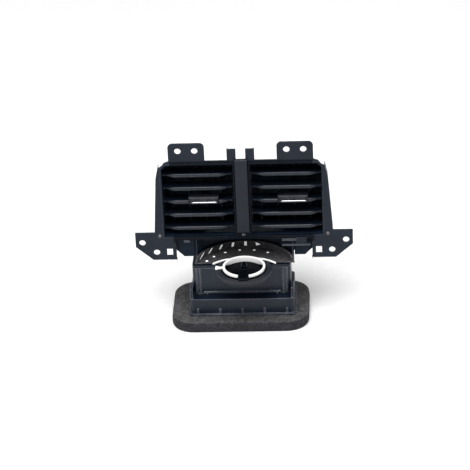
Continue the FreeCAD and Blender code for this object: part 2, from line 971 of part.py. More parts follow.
def vent_housing():
    shell = side_profile(
        "Shell",
        [
            ("shell_y", "floor_bottom"),
            ("back_y", "floor_bottom"),
            ("back_y", "roof_back"),
            ("shell_y", "roof_front"),
        ],
        "2 * shell_half",
    )
    shell = soften(shell, "Chamfer", "roof_bevel", slanting)
    roof_inside = "roof_front - roof_wall"
    inside_back = "roof_back - roof_wall + housing_wall * tan(roof_slope)"
    cavity = side_profile(
        "Cavity",
        [
            ("shell_y - over", "floor_top"),
            ("back_y - housing_wall", "floor_top"),
            ("back_y - housing_wall", inside_back),
            ("shell_y - over", f"{roof_inside} + over * tan(roof_slope)"),
        ],
        "2 * outlet_outer",
    )
    cavity = soften(cavity, "Chamfer", "roof_bevel - housing_wall / 2", slanting)
    port = common(
        cylinder(
            "0",
            "dial_y",
            "floor_bottom - over",
            "skirt_radius - skirt_wall",
            "housing_wall + 2 * over",
        ),
        centred_box(
            "0",
            "face_y + port_front",
            "floor_bottom - over",
            "2 * skirt_radius",
            "2 * skirt_radius",
            "housing_wall + 2 * over",
        ),
    )
    spines = [
        common(
            centred_box(
                f"{side} * (spine_half - spine_wall / 2)",
                "shell_y",
                "floor_bottom",
                "spine_wall",
                "spine_depth",
                "frame_top",
            ),
            side_profile(
                "SpineLimit",
                [
                    ("shell_y", "floor_top - housing_wall / 2"),
                    ("back_y", "floor_top - housing_wall / 2"),
                    ("back_y", "roof_back - roof_wall / 2"),
                    ("shell_y", "roof_front - roof_wall / 2"),
                ],
                "2 * shell_half",
            ),
        )
        for side in OUTLETS.values()
    ]
    bosses = [
        common(
            cylinder(x, "vane_y", "vane_top + fit_gap", "boss_radius", "frame_top - vane_top"),
            side_profile(
                "BossLimit",
                [
                    ("shell_y", "floor_top"),
                    ("back_y", "floor_top"),
                    ("back_y", "roof_back - roof_wall / 2"),
                    ("shell_y", "roof_front - roof_wall / 2"),
                ],
                "2 * shell_half",
            ),
        )
        for x in vane_places()
    ]
    chins = []
    for side in OUTLETS.values():
        chin = centred_box(
            f"{side} * (chin_inner + chin_width / 2)",
            "face_y + chin_front",
            "floor_bottom - chin_drop",
            "chin_width",
            "chin_depth",
            "chin_drop + housing_wall / 2",
        )
        outer = number(f"{side} * (chin_inner + chin_width)")
        low = number("floor_bottom - chin_drop")

        def chin_corner(edge, outer=outer, low=low):
            spot = edge.CenterOfMass
            level = abs(spot.x - outer) < 1e-3 and abs(spot.z - low) < 1e-3
            return along("y")(edge) and level

        chins.append(soften(chin, "Chamfer", "chin_bevel", chin_corner))
        chins.append(
            centred_box(
                f"{side} * (chin_inner + over / 2 - chin_return / 2)",
                "face_y + chin_front + chin_depth - housing_wall",
                "floor_bottom - chin_drop",
                "chin_return + over",
                "housing_wall",
                "chin_drop + housing_wall / 2",
            )
        )
    ribs = [
        centred_box(
            f"{step} * back_rib_pitch",
            "back_y - housing_wall / 2",
            "floor_bottom",
            "rib_width",
            "housing_wall / 2 + rib_proud",
            "roof_back - floor_bottom - housing_wall",
        )
        for step in (-2, -1, 0, 1, 2)
    ]
    body = fuse(cut(cut(shell, cavity), port), *spines, *bosses, *chins, *ribs)
    holes = []
    rows = int(number("slat_count"))
    for row in range(1, rows + 1):
        for wall_x in ("-shell_half", "-spine_half", "spine_half - spine_wall", "outlet_outer"):
            holes.append(
                cylinder(
                    f"{wall_x} - over",
                    "slat_y",
                    slat_height(row),
                    "slat_pin + pin_clearance",
                    "housing_wall + 2 * over",
                    turn=ALONG_X,
                )
            )
    for x in vane_places():
        holes.append(
            cylinder(
                x,
                "vane_y",
                "floor_bottom - over",
                "vane_pin + pin_clearance",
                "housing_wall + 2 * over",
            )
        )
        holes.append(
            cylinder(
                x,
                "vane_y",
                "vane_top - over",
                "vane_pin + pin_clearance",
                "vane_pin_length + over + fit_gap",
            )
        )
    sub_part("vent_housing", cut(body, *holes))


def slat_height(row):
    """Height of a slat's pivot; row 1 is the top one."""
    return f"(slat_middle + ((slat_count + 1) / 2 - {row}) * slat_pitch)"


def outlet_x(side):
    """Middle of an outlet in X."""
    return f"({side} * outlet_centre)"


def vane_x(side, place_number):
    """Place of a vane in X; the third vane stands behind the knob."""
    return f"({outlet_x(side)} + knob_offset + ({place_number} - 3) * vane_pitch)"


def vane_places():
    """Places of all vanes in X."""
    count = int(number("vane_count"))
    return [vane_x(side, i) for side in OUTLETS.values() for i in range(1, count + 1)]


# Slats, their link bars, knobs and chrome strips
def slat(name, side, row):
    x = outlet_x(side)
    z = slat_height(row)
    width = "slat_outer - slat_inner"
    blade = centred_box(
        x,
        "slat_y - slat_front + nose_depth / 2",
        f"{z} - slat_thick / 2",
        width,
        "slat_front + slat_rear - nose_depth / 2",
        "slat_thick",
    )
    end_x = number(f"{side} * slat_outer")
    rear_y = number("slat_y + slat_rear")

    def outer_rear(edge):
        spot = edge.CenterOfMass
        return along("z")(edge) and abs(spot.x - end_x) < 1e-3 and abs(spot.y - rear_y) < 1e-3

    blade = soften(blade, "Chamfer", "slat_corner", outer_rear)
    nose = centred_box(
        x,
        "slat_y - slat_front",
        f"{z} - nose_height / 2",
        "nose_length",
        "nose_depth",
        "nose_height",
    )
    nose = soften(nose, "Chamfer", "nose_height / 2 - slat_thick / 4", along("z"))
    pieces = [blade, nose]
    to_wall = "fit_gap + pin_seat"
    to_spine = "slat_link_room + pin_seat - fit_gap / 2"
    outer_start = "slat_outer" if side > 0 else f"-slat_outer - ({to_wall})"
    inner_start = f"slat_inner - ({to_spine})" if side > 0 else "-slat_inner"
    pieces.append(cylinder(outer_start, "slat_y", z, "slat_pin", to_wall, turn=ALONG_X))
    pieces.append(cylinder(inner_start, "slat_y", z, "slat_pin", to_spine, turn=ALONG_X))
    crank_length = "slat_link_room - fit_gap"
    crank_start = f"slat_inner - ({crank_length})" if side > 0 else "-slat_inner"
    pieces.append(
        cylinder(crank_start, "slat_y + slat_crank", z, "crank_pin", crank_length, turn=ALONG_X)
    )
    sub_part(name, fuse(*pieces))


def slat_link(name, side):
    gap = "(slat_link_room - link_thick) / 2"
    start = f"spine_half + {gap}" if side > 0 else f"-spine_half - {gap} - link_thick"
    rows = int(number("slat_count"))
    bar = box(
        start,
        "slat_y + slat_crank - link_width / 2",
        f"{slat_height(rows)} - link_end",
        "link_thick",
        "link_width",
        f"{slat_height(1)} - {slat_height(rows)} + 2 * link_end",
    )
    holes = [
        cylinder(
            f"{start} - over",
            "slat_y + slat_crank",
            slat_height(row),
            "crank_pin + pin_clearance",
            "link_thick + 2 * over",
            turn=ALONG_X,
        )
        for row in range(1, rows + 1)
    ]
    sub_part(name, cut(bar, *holes))


def knob(name, side):
    x = f"({outlet_x(side)} + knob_offset)"
    z = slat_height("(slat_count + 1) / 2")
    nose_y = "slat_y - slat_front"
    front = f"{nose_y} - knob_front"
    block = centred_box(
        x, front, f"{z} - knob_below", "knob_width", "knob_depth", "knob_below + knob_above"
    )
    front_y = number(front)

    def front_edge(edge):
        return abs(edge.CenterOfMass.y - front_y) < 1e-3

    block = soften(block, "Chamfer", "knob_round", front_edge)
    blade_room = "slat_thick / 2 + knob_slot"
    strap_end = "slat_y + slat_rear + knob_slot"
    strap_start = f"{front} + knob_depth - knob_slot"
    straps = [
        centred_box(
            x,
            strap_start,
            f"{z} + {edge}",
            "arm_strap",
            f"{strap_end} + fork_web - ({strap_start})",
            "strap_thick",
        )
        for edge in (blade_room, f"-({blade_room}) - strap_thick")
    ]
    web = centred_box(
        x,
        strap_end,
        f"{z} - ({blade_room}) - strap_thick",
        "arm_strap",
        "fork_web",
        f"2 * ({blade_room} + strap_thick)",
    )
    tines = [
        centred_box(
            f"{x} + {edge} * (fork_gap + tine_wall) / 2",
            strap_end,
            f"{z} - ({blade_room}) - strap_thick",
            "tine_wall",
            "fork_web + tine_length",
            f"2 * ({blade_room} + strap_thick)",
        )
        for edge in (-1, 1)
    ]
    nose_room = centred_box(
        x,
        f"{nose_y} - knob_slot",
        f"{z} - nose_height / 2 - knob_slot",
        "knob_width + 2 * over",
        "knob_depth",
        "nose_height + 2 * knob_slot",
    )
    slotted = cut(block, nose_room)
    sub_part(name, fuse(slotted, *straps, web, *tines))


def knob_trim(name, side):
    x = f"({outlet_x(side)} + knob_offset)"
    z = slat_height("(slat_count + 1) / 2")
    strip = centred_box(
        x,
        "slat_y - slat_front - knob_front - trim_thick",
        f"{z} - knob_below + knob_round / 2",
        "trim_width - knob_round",
        "trim_thick",
        "trim_height - knob_round / 2",
    )
    sub_part(name, strip)


# Vertical vanes and their link bars
def vane(name, side, place_number):
    x = vane_x(side, place_number)
    start = "vane_y - vane_front"
    blade = centred_box(
        x, start, "vane_bottom", "vane_thick", "vane_front + vane_rear", "vane_top - vane_bottom"
    )
    notch = centred_box(
        x,
        "vane_y + vane_notch_start",
        "vane_bottom - over",
        "vane_thick + 2 * over",
        "vane_rear",
        "vane_notch + over",
    )
    pieces = [cut(blade, notch)]
    pieces.append(
        cylinder(x, "vane_y", "vane_top - over", "vane_pin", "vane_pin_length + over")
    )
    foot = "fit_gap + pin_seat"
    pieces.append(cylinder(x, "vane_y", f"vane_bottom - ({foot})", "vane_pin", f"{foot} + over"))
    pieces.append(
        cylinder(
            x,
            "vane_y + vane_crank",
            "vane_bottom + vane_link_gap - fit_gap",
            "crank_pin",
            "vane_notch - vane_link_gap + fit_gap + over",
        )
    )
    if place_number == 3:
        z = slat_height("(slat_count + 1) / 2")
        pieces.append(
            centred_box(
                x,
                "vane_y - finger_tip",
                f"{z} - finger_half",
                "finger_thick",
                "finger_tip - vane_front + over",
                "2 * finger_half",
            )
        )
    sub_part(name, fuse(*pieces))


def vane_link(name, side):
    count = int(number("vane_count"))
    first = vane_x(side, 1)
    z = "vane_bottom + vane_link_gap"
    bar = box(
        f"{first} - link_end",
        "vane_y + vane_crank - link_width / 2",
        z,
        f"{vane_x(side, count)} - {first} + 2 * link_end",
        "link_width",
        "link_thick",
    )
    holes = [
        cylinder(
            vane_x(side, i),
            "vane_y + vane_crank",
            f"{z} - over",
            "crank_pin + pin_clearance",
            "link_thick + 2 * over",
        )
        for i in range(1, count + 1)
    ]
    sub_part(name, cut(bar, *holes))


# Centre bar, screws and small clips on the face
def centre_bar():
    bar = centred_box(
        "0",
        "face_y - bar_proud",
        "bar_bottom",
        "2 * bar_half",
        "bar_proud",
        "frame_top + bar_rise - bar_bottom",
    )
    front_y = number("face_y - bar_proud")

    def front_edge(edge):
        return abs(edge.CenterOfMass.y - front_y) < 1e-3

    sub_part("centre_bar", soften(bar, "Chamfer", "bar_chamfer", front_edge))


def frame_screws():
    height = "frame_bottom + screw_rise"
    heads = [
        cylinder(x, "face_y - screw_head", height, "screw_radius", "screw_head", turn=ALONG_Y)
        for x in ("-screw_side", "0", "screw_side")
    ]
    sub_part("frame_screws", group(*heads))


def lower_clips():
    under = "frame_bottom - clip_height"
    small = centred_box("-clip_x", "face_y", under, "clip_width", "clip_thick", "clip_height")
    latch = centred_box("latch_x", "face_y", under, "latch_width", "clip_thick", "clip_height")
    sub_part("lower_clips", group(small, latch))


foam_seal()
duct_front()
duct_rear()
dial_deck()
dial()
dial_scale()
spring_ring()
retaining_post()
face_frame()
vent_housing()
centre_bar()
frame_screws()
lower_clips()
for outlet, side in OUTLETS.items():
    for row in range(1, int(SIZES["slat_count"]) + 1):
        slat(f"{outlet}_slat_{row}", side, row)
    slat_link(f"{outlet}_slat_link", side)
    knob(f"{outlet}_knob", side)
    knob_trim(f"{outlet}_knob_trim", side)
    for i in range(1, int(SIZES["vane_count"]) + 1):
        vane(f"{outlet}_vane_{i}", side, i)
    vane_link(f"{outlet}_vane_link", side)

doc.recompute()
for item in doc.Objects:
    if "Invalid" in item.State or "Error" in item.State:
        raise ValueError(f"{item.Label} failed: {item.State}")
for name, item in sub_parts.items():
    if item.Shape.isNull() or not item.Shape.isValid():
        raise ValueError(f"{name}: no valid shape")

os.makedirs("parts", exist_ok=True)
for name, item in sub_parts.items():
    item.Shape.exportStep(f"parts/{name}.step")
    bounds = item.Shape.BoundBox
    print(name, len(item.Shape.Solids), round(item.Shape.Volume, 1), bounds)
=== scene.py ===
"""Looks of a car rear air vent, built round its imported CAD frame.

The vent stands on its foam seal at Z = 0 with its face towards -Y. Lengths are metres in the
CAD frame. Places come from the frame's boxes and joints, and the rest from the named values
of each class.
"""

import json
import logging
import math
from dataclasses import dataclass, fields
from enum import Enum
from typing import NewType

import bmesh
import bpy
import numpy as np
from mathutils import Matrix, Vector

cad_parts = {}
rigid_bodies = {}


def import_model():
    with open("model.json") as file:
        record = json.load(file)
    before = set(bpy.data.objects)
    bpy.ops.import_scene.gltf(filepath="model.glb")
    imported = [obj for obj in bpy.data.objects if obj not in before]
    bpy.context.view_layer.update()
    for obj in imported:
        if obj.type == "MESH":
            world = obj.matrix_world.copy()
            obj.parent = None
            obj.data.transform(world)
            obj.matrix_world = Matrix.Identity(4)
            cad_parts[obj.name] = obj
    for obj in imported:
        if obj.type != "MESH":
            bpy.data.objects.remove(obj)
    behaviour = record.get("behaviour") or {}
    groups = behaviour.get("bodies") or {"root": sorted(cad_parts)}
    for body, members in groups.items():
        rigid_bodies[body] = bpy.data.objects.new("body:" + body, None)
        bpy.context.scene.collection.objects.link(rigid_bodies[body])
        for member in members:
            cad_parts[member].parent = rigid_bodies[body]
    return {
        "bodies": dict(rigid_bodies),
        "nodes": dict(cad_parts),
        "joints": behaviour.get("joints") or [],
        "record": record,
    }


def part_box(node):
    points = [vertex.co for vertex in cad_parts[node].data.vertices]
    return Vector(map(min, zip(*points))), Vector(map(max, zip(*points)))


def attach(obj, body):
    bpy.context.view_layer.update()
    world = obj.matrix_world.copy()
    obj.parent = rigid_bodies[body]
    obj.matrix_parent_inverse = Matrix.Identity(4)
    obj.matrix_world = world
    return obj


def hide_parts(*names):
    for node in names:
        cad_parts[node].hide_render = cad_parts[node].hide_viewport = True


Array = np.ndarray
MM = 0.001
FULL_TURN = 2.0 * math.pi
IMAGE_SIDE = 470
SIDES = {"left": -1.0, "right": 1.0}
SLAT_ROWS = 5
MIDDLE_SLAT = 3
MERGE = MM * 1e-3
SHARP = 38.0

log = logging.getLogger("rear_air_vent")


# Curves and sections


def smooth_step(values: Array) -> Array:
    """Smooth rise from 0 to 1: 3 t**2 - 2 t**3, with t kept within 0 and 1."""
    t = np.clip(values, 0.0, 1.0)
    return t * t * (3.0 - 2.0 * t)


def row(*values: float) -> Array:
    """Return the values as one array."""
    return np.array(values, float)


RIGHT = row(1.0, 0.0, 0.0)
BACK = row(0.0, 1.0, 0.0)
UP = row(0.0, 0.0, 1.0)


def rounded_loop(
    width: float, depth: float, radius: float, round_steps: int, side_steps: int = 0
) -> Array:
    """Outline of a rectangle with round corners.

    Each corner is a quarter circle whose centre lies the radius inside both sides, and the
    points of a side stand evenly between its corners.

    Args:
        width: size along the first axis.
        depth: size along the second axis.
        radius: radius of the corners.
        round_steps: faces along each corner.
        side_steps: extra points along each straight side.

    Returns:
        Points of the closed outline, two values each.
    """
    turn = (np.arange(4)[:, None] + np.linspace(0.0, 1.0, round_steps + 1)) * math.pi / 2.0
    signs = np.array([(1.0, 1.0), (-1.0, 1.0), (-1.0, -1.0), (1.0, -1.0)])
    centres = signs * (row(width, depth) / 2.0 - radius)
    arcs = centres[:, None] + radius * np.stack([np.cos(turn), np.sin(turn)], axis=-1)
    share = (np.arange(side_steps) + 1.0) / (side_steps + 1.0)
    starts = arcs[:, -1:]
    ends = np.roll(arcs[:, :1], -1, axis=0)
    straights = starts + share[None, :, None] * (ends - starts)
    return np.concatenate([arcs, straights], axis=1).reshape(-1, 2)


def swept(section: Array, origins: Array, across: Array, up: Array) -> Array:
    """Carry a flat section along a path: origin + first value * across + second value * up.

    Args:
        section: flat points, one set or one for each station.
        origins: a point for each station.
        across: direction of the section's first axis, one or one for each station.
        up: direction of its second axis, in the same way.

    Returns:
        Grid of points, one row for each station.
    """
    across = np.broadcast_to(across, origins.shape)
    up = np.broadcast_to(up, origins.shape)
    flat = np.broadcast_to(section, (len(origins), *section.shape[-2:]))
    return origins[:, None] + flat[..., :1] * across[:, None] + flat[..., 1:] * up[:, None]


def turned(profile: Array, centre: Array, axis: Array, steps: int) -> Array:
    """Turn a profile about an axis: each row is a circle of its radius at its height.

    Args:
        profile: radius and height of each row.
        centre: point on the axis at height 0.
        axis: unit direction of the axis.
        steps: points in each row.

    Returns:
        Grid of points, one row for each point of the profile.
    """
    along = Vector(axis)
    first = np.array(along.orthogonal().normalized())
    second = np.cross(axis, first)
    angle = np.arange(steps) * FULL_TURN / steps
    circle = np.cos(angle)[:, None] * first + np.sin(angle)[:, None] * second
    heights = profile[:, 1, None, None] * np.asarray(axis, float)
    return centre + heights + profile[:, 0, None, None] * circle


def pin_profile(radius: float, start: float, end: float, chamfer: float) -> Array:
    """Radius and height of a straight pin with chamfered ends, closed on its axis."""
    inner = radius - chamfer
    rim = [(inner, start), (radius, start + chamfer), (radius, end - chamfer), (inner, end)]
    return np.array([(0.0, start), *rim, (0.0, end)])


# Meshes


class Shape:
    """Points and faces of one piece, gathered before they become a mesh."""

    def __init__(self) -> None:
        """Start with nothing."""
        self.points: list[Array] = []
        self.faces: list[list[int]] = []
        self.count = 0

    def grid(
        self, points: Array, ring_rows: bool = False, ring_columns: bool = True, capped: bool = False
    ) -> "Shape":
        """Add a grid of points, joined into four-sided faces.

        A face joins points (i, j), (i, j + 1), (i + 1, j + 1) and (i + 1, j).

        Args:
            points: rows and columns of points.
            ring_rows: the last row joins the first.
            ring_columns: the last column joins the first.
            capped: the first and last rows are filled with one flat face each.

        Returns:
            This shape.
        """
        rows, columns = points.shape[:2]
        numbers = self.count + np.arange(rows * columns).reshape(rows, columns)
        if ring_columns:
            numbers = np.concatenate([numbers, numbers[:, :1]], axis=1)
        if ring_rows:
            numbers = np.concatenate([numbers, numbers[:1]], axis=0)
        corners = [numbers[:-1, :-1], numbers[:-1, 1:], numbers[1:, 1:], numbers[1:, :-1]]
        self.faces += np.stack(corners, axis=-1).reshape(-1, 4).tolist()
        if capped:
            first, last = numbers[0, :columns], numbers[rows - 1, :columns]
            self.faces += [first[::-1].tolist(), last.tolist()]
        self.points.append(points.reshape(-1, 3))
        self.count += rows * columns
        return self

    def build(self, name: str, finish: "Finish", sharp: float = SHARP) -> bpy.types.Object:
        """Make the mesh and its object.

        Args:
            name: name of the piece.
            finish: what the piece is made of.
            sharp: edges that turn by more degrees than this stay sharp.

        Returns:
            The new object, at the origin.
        """
        mesh = bpy.data.meshes.new(name)
        mesh.from_pydata(np.concatenate(self.points), [], self.faces)
        work = bmesh.new()
        work.from_mesh(mesh)
        bmesh.ops.remove_doubles(work, verts=work.verts, dist=MERGE)
        bmesh.ops.dissolve_degenerate(work, edges=work.edges, dist=MERGE)
        bmesh.ops.recalc_face_normals(work, faces=work.faces)
        work.to_mesh(mesh)
        work.free()
        mesh.shade_smooth()
        mesh.set_sharp_from_angle(angle=math.radians(sharp))
        piece = bpy.data.objects.new(name, mesh)
        bpy.context.scene.collection.objects.link(piece)
        finish.dress(piece)
        return piece


# Shader trees


Socket = bpy.types.NodeSocket
Rgb = tuple[float, float, float]
UNIT = (0.0, 1.0)
TONE_SPAN = (0.35, 0.65)
GLOSS_SPAN = (0.3, 0.7)


class Board:
    """Short way to add and join the nodes of one shader tree."""

    def __init__(self, tree: bpy.types.NodeTree) -> None:
        """Work on this tree."""
        self.tree = tree

    def join(self, node: bpy.types.Node, inputs: dict) -> bpy.types.Node:
        """Feed a node's sockets, each with a value or from another node's socket."""
        for key, value in inputs.items():
            if isinstance(value, Socket):
                self.tree.links.new(value, node.inputs[key])
            else:
                node.inputs[key].default_value = value
        return node

    def add(self, kind: str, inputs: dict | None = None, **settings: object) -> bpy.types.Node:
        """Add a node.

        Args:
            kind: node type, without its Shader prefix.
            inputs: sockets by name or number, each a value or a socket to join it to.
            settings: properties of the node.

        Returns:
            The node.
        """
        node = self.tree.nodes.new(kind if kind.startswith("NodeGroup") else f"ShaderNode{kind}")
        for key, value in settings.items():
            setattr(node, key, value)
        return self.join(node, inputs or {})

    def math(self, operation: str, *values: object) -> Socket:
        """Add a Math node and return its result."""
        return self.add("Math", dict(enumerate(values)), operation=operation).outputs[0]

    def vector(self, operation: str, *values: object, output: str = "Vector") -> Socket:
        """Add a Vector Math node and return one of its results."""
        return self.add("VectorMath", dict(enumerate(values)), operation=operation).outputs[output]

    def noise(self, place: Socket, scale: object, detail: float) -> Socket:
        """Add a noise and return its strength."""
        return self.add("TexNoise", {"Vector": place, "Scale": scale, "Detail": detail}).outputs["Fac"]

    def cells(self, place: Socket, scale: object, feature: str) -> Socket:
        """Scatter points and return the distance to the nearest."""
        node = self.add("TexVoronoi", {"Vector": place, "Scale": scale}, feature=feature)
        return node.outputs["Distance"]

    def bump(self, height: Socket, depth: Socket) -> Socket:
        """Return the normal of a surface raised by the height, with its depth in millimetres."""
        deep = self.math("MULTIPLY", depth, MM)
        return self.add("Bump", {"Height": height, "Distance": deep, "Strength": 1.0}).outputs[0]

    def facing_up(self) -> Socket:
        """Return the height of the surface's normal."""
        return self.add("SeparateXYZ", {0: self.add("NewGeometry").outputs["Normal"]}).outputs["Z"]

    def spread(self, value: Socket, low: object, high: object, to: tuple = UNIT) -> Socket:
        """Map the value from low and high to two new limits, with smooth ends."""
        inputs = {0: value, 1: low, 2: high, 3: to[0], 4: to[1]}
        return self.add("MapRange", inputs, interpolation_type="SMOOTHSTEP").outputs[0]

    def blend(self, mask: Socket, first: Socket | Rgb, second: Socket | Rgb) -> Socket:
        """Mix two colours by a mask."""
        ends = [end if isinstance(end, Socket) else (*end, 1.0) for end in (first, second)]
        return self.add("Mix", {0: mask, 6: ends[0], 7: ends[1]}, data_type="RGBA").outputs[2]

    def group(self, effect: "Effect", *values: object) -> bpy.types.NodeOutputs:
        """Place an effect's node group, with its values in order, and return its outputs."""
        tree = bpy.data.node_groups.get(effect.value) or effect_tree(effect)
        return self.add("Group", dict(enumerate(values)), node_tree=tree).outputs


class Effect(Enum):
    """Effects that several materials share."""

    GRAIN = "moulded_grain"
    # lighter edges: partly rubbed wear, partly a painted highlight
    WEAR = "edge_wear"
    PORES = "foam_pores"
    # boxes of painted light and shade on a moulding
    ZONE = "tone_zone"


def grain(board: Board, place: Socket, cells: Socket, depth: Socket, drift: Socket) -> tuple:
    """Grain of a spark-eroded mould: small round pits, with a slow drift of tone and gloss.

    The pits are the distance to the nearest of scattered points, the tone is the sum of a slow
    and a quick noise, and the gloss is a noise of its own.
    """
    pits = board.bump(board.cells(place, cells, "SMOOTH_F1"), depth)
    slow = board.noise(place, drift, 3.0)
    quick = board.noise(place, board.math("MULTIPLY", cells, 0.4), 2.0)
    tone = board.math("ADD", board.math("MULTIPLY", slow, 0.55), board.math("MULTIPLY", quick, 0.45))
    return pits, tone, board.noise(place, board.math("MULTIPLY", drift, 4.0), 4.0)


def wear(board: Board, rounded: Socket, true: Socket, tone: Socket, amount: Socket) -> tuple:
    """Lighter edges, partly rubbed wear and partly a painted highlight: where a rounded normal leaves
    the true one, broken up by the tone.
    """
    alike = board.vector("DOT_PRODUCT", rounded, true, output="Value")
    edge = board.spread(board.math("SUBTRACT", 1.0, alike), 0.005, 0.12)
    patchy = board.spread(tone, *TONE_SPAN, (0.3, 1.0))
    return (board.math("MULTIPLY", board.math("MULTIPLY", edge, patchy), amount),)


def pores(board: Board, place: Socket, cells: Socket, depth: Socket) -> tuple:
    """Cut foam: two sizes of open cells, as the distance to the nearest of scattered points."""
    coarse = board.cells(place, cells, "F1")
    fine = board.cells(place, board.math("MULTIPLY", cells, 2.3), "F1")
    walls = board.math("ADD", board.math("MULTIPLY", coarse, 0.65), board.math("MULTIPLY", fine, 0.35))
    tone = board.noise(place, board.math("MULTIPLY", cells, 0.5), 6.0)
    return board.bump(walls, depth), walls, tone


def zone(board: Board, place: Socket, centre: Socket, half: Socket, low: Socket, high: Socket) -> tuple:
    """Mask of a box for painted light and shade: one within it, fading to nothing as the distance from
    the box grows.

    The distance is the length of what each offset from the centre exceeds the half size by.
    """
    size = board.vector("ABSOLUTE", board.vector("SUBTRACT", place, centre))
    beyond = board.vector("MAXIMUM", board.vector("SUBTRACT", size, half), (0.0, 0.0, 0.0))
    distance = board.vector("LENGTH", beyond, output="Value")
    return (board.spread(distance, low, high, (1.0, 0.0)),)


RECIPES = {
    Effect.GRAIN: (grain, "Place Cells Depth Drift", "Normal Tone Gloss"),
    Effect.WEAR: (wear, "Round True Tone Amount", "Mask"),
    Effect.PORES: (pores, "Place Cells Depth", "Normal Walls Tone"),
    Effect.ZONE: (zone, "Place Centre Half Low High", "Mask"),
}
VECTORS = ("Place", "Centre", "Half", "Round", "True", "Normal")


def effect_tree(effect: Effect) -> bpy.types.NodeTree:
    """Make an effect's node group; its sockets named in VECTORS are vectors, the others numbers."""
    recipe, inputs, outputs = RECIPES[effect]
    tree = bpy.data.node_groups.new(effect.value, "ShaderNodeTree")
    for way, names in (("INPUT", inputs.split()), ("OUTPUT", outputs.split())):
        for name in names:
            kind = "NodeSocketVector" if name in VECTORS else "NodeSocketFloat"
            tree.interface.new_socket(name, in_out=way, socket_type=kind)
    board = Board(tree)
    given = board.add("NodeGroupInput").outputs[: len(inputs.split())]
    board.add("NodeGroupOutput", dict(enumerate(recipe(board, *given))))
    return tree


# Finishes


@dataclass(frozen=True)
class Finish:
    """What a piece is made of; each kind of finish fills in its own shader."""

    name: str

    def dress(self, piece: bpy.types.Object) -> None:
        """Give the piece this finish and no other."""
        piece.data.materials.clear()
        piece.data.materials.append(self.material())

    def material(self) -> bpy.types.Material:
        """Return the material, made the first time it is asked for."""
        found = bpy.data.materials.get(self.name)
        if found:
            return found
        made = bpy.data.materials.new(self.name)
        made.use_nodes = True
        made.node_tree.nodes.clear()
        board = Board(made.node_tree)
        shader = board.add("BsdfPrincipled")
        board.add("OutputMaterial", {"Surface": shader.outputs[0]})
        board.join(shader, self.fill(board, board.add("TexCoord").outputs["Object"]))
        return made

    def fill(self, board: Board, place: Socket) -> dict:
        """Add the nodes of the finish and return what feeds each of the shader's sockets."""
        raise NotImplementedError


@dataclass(frozen=True)
class PaintedLightZone:
    """Painted light and shade on part of a moulding: its own tone and shine, in or outside a soft-edged
    box.
    """

    centre: tuple
    half: tuple
    low: float
    high: float
    # tone and shine painted within the box: darker for painted shade, lighter for painted light
    tone: Rgb
    shine: float
    inside: bool = True

    def apply(self, board: Board, place: Socket, base: Socket, shine: float) -> tuple[Socket, Socket]:
        """Mix the box's painted light and shade, its tone and shine, into those of the moulding.

        Args:
            board: board of the material.
            place: coordinates on the object.
            base: the moulding's colour.
            shine: the moulding's specular level.

        Returns:
            The mixed colour and specular level.
        """
        mask = board.group(Effect.ZONE, place, self.centre, self.half, self.low, self.high)["Mask"]
        mask = mask if self.inside else board.math("SUBTRACT", 1.0, mask)
        return board.blend(mask, base, self.tone), board.spread(mask, *UNIT, (shine, self.shine))


@dataclass(frozen=True)
class MouldedPlastic(Finish):
    """Injection-moulded plastic: two close tones, grain, uneven gloss, and lighter edges that are
    partly rubbed wear and partly a painted highlight.
    """

    dark: Rgb = (0.0022, 0.0055, 0.0125)
    light: Rgb = (0.0045, 0.0095, 0.0190)
    # edge colour: partly rubbed wear, partly a painted highlight
    rubbed: Rgb = (0.110, 0.120, 0.145)
    smooth: float = 0.34
    rough: float = 0.50
    cells: float = 2200.0
    depth: float = 0.02
    drift: float = 60.0
    specular: float = 0.24
    # strength of the rubbed wear and painted highlight along edges
    wear: float = 0.6
    edge: float = 0.5 * MM
    soft: float = 0.0
    soft_radius: tuple = (1.2 * MM, 1.0 * MM, 0.8 * MM)
    # box of painted light and shade, where the moulding has one
    zone: PaintedLightZone | None = None

    def fill(self, board: Board, place: Socket) -> dict:
        """Tone from the grain group, lighter along edges by rubbed wear and a painted highlight, with
        its gloss as roughness.
        """
        found = board.group(Effect.GRAIN, place, self.cells, self.depth, self.drift)
        true = board.add("NewGeometry").outputs["Normal"]
        # edge mask for the rubbed wear and the painted highlight
        rounded = board.add("Bevel", {"Radius": self.edge}, samples=4).outputs[0]
        worn_and_highlit = board.group(Effect.WEAR, rounded, true, found["Tone"], self.wear)
        tone = board.spread(found["Tone"], *TONE_SPAN)
        base = board.blend(worn_and_highlit["Mask"], board.blend(tone, self.dark, self.light), self.rubbed)
        shine = self.specular
        # painted light and shade within a box, where the moulding has one
        if self.zone:
            base, shine = self.zone.apply(board, place, base, shine)
        feeds = {
            "Base Color": base,
            "Roughness": board.spread(found["Gloss"], *GLOSS_SPAN, (self.smooth, self.rough)),
            "Normal": found["Normal"],
            "Specular IOR Level": shine,
        }
        if self.soft:
            feeds |= {"Subsurface Weight": self.soft, "Subsurface Radius": self.soft_radius}
            feeds["Subsurface Scale"] = 1.0
        return feeds


@dataclass(frozen=True)
class PlatedMetal(Finish):
    """Bright plating: thin wandering haze and fine dust pits on a mirror."""

    tint: Rgb = (0.66, 0.68, 0.71)
    haze: Rgb = (0.50, 0.52, 0.55)
    # painted shade for faces turned down
    under: Rgb = (0.16, 0.165, 0.18)
    smooth: float = 0.08
    rough: float = 0.26
    cells: float = 900.0
    depth: float = 0.004
    drift: float = 140.0

    def fill(self, board: Board, place: Socket) -> dict:
        """Haze darkens and roughens the plating a little; faces turned down get a darker painted shade.
        """
        found = board.group(Effect.GRAIN, place, self.cells, self.depth, self.drift)
        plating = board.blend(board.spread(found["Gloss"], 0.4, 0.75), self.tint, self.haze)
        # painted shade: the plating darkens towards faces turned down
        upper_lit = board.spread(board.facing_up(), 0.15, 0.75)
        return {
            "Base Color": board.blend(upper_lit, self.under, plating),
            "Roughness": board.spread(found["Gloss"], 0.35, 0.75, (self.smooth, self.rough)),
            "Normal": found["Normal"],
            "Metallic": 1.0,
        }


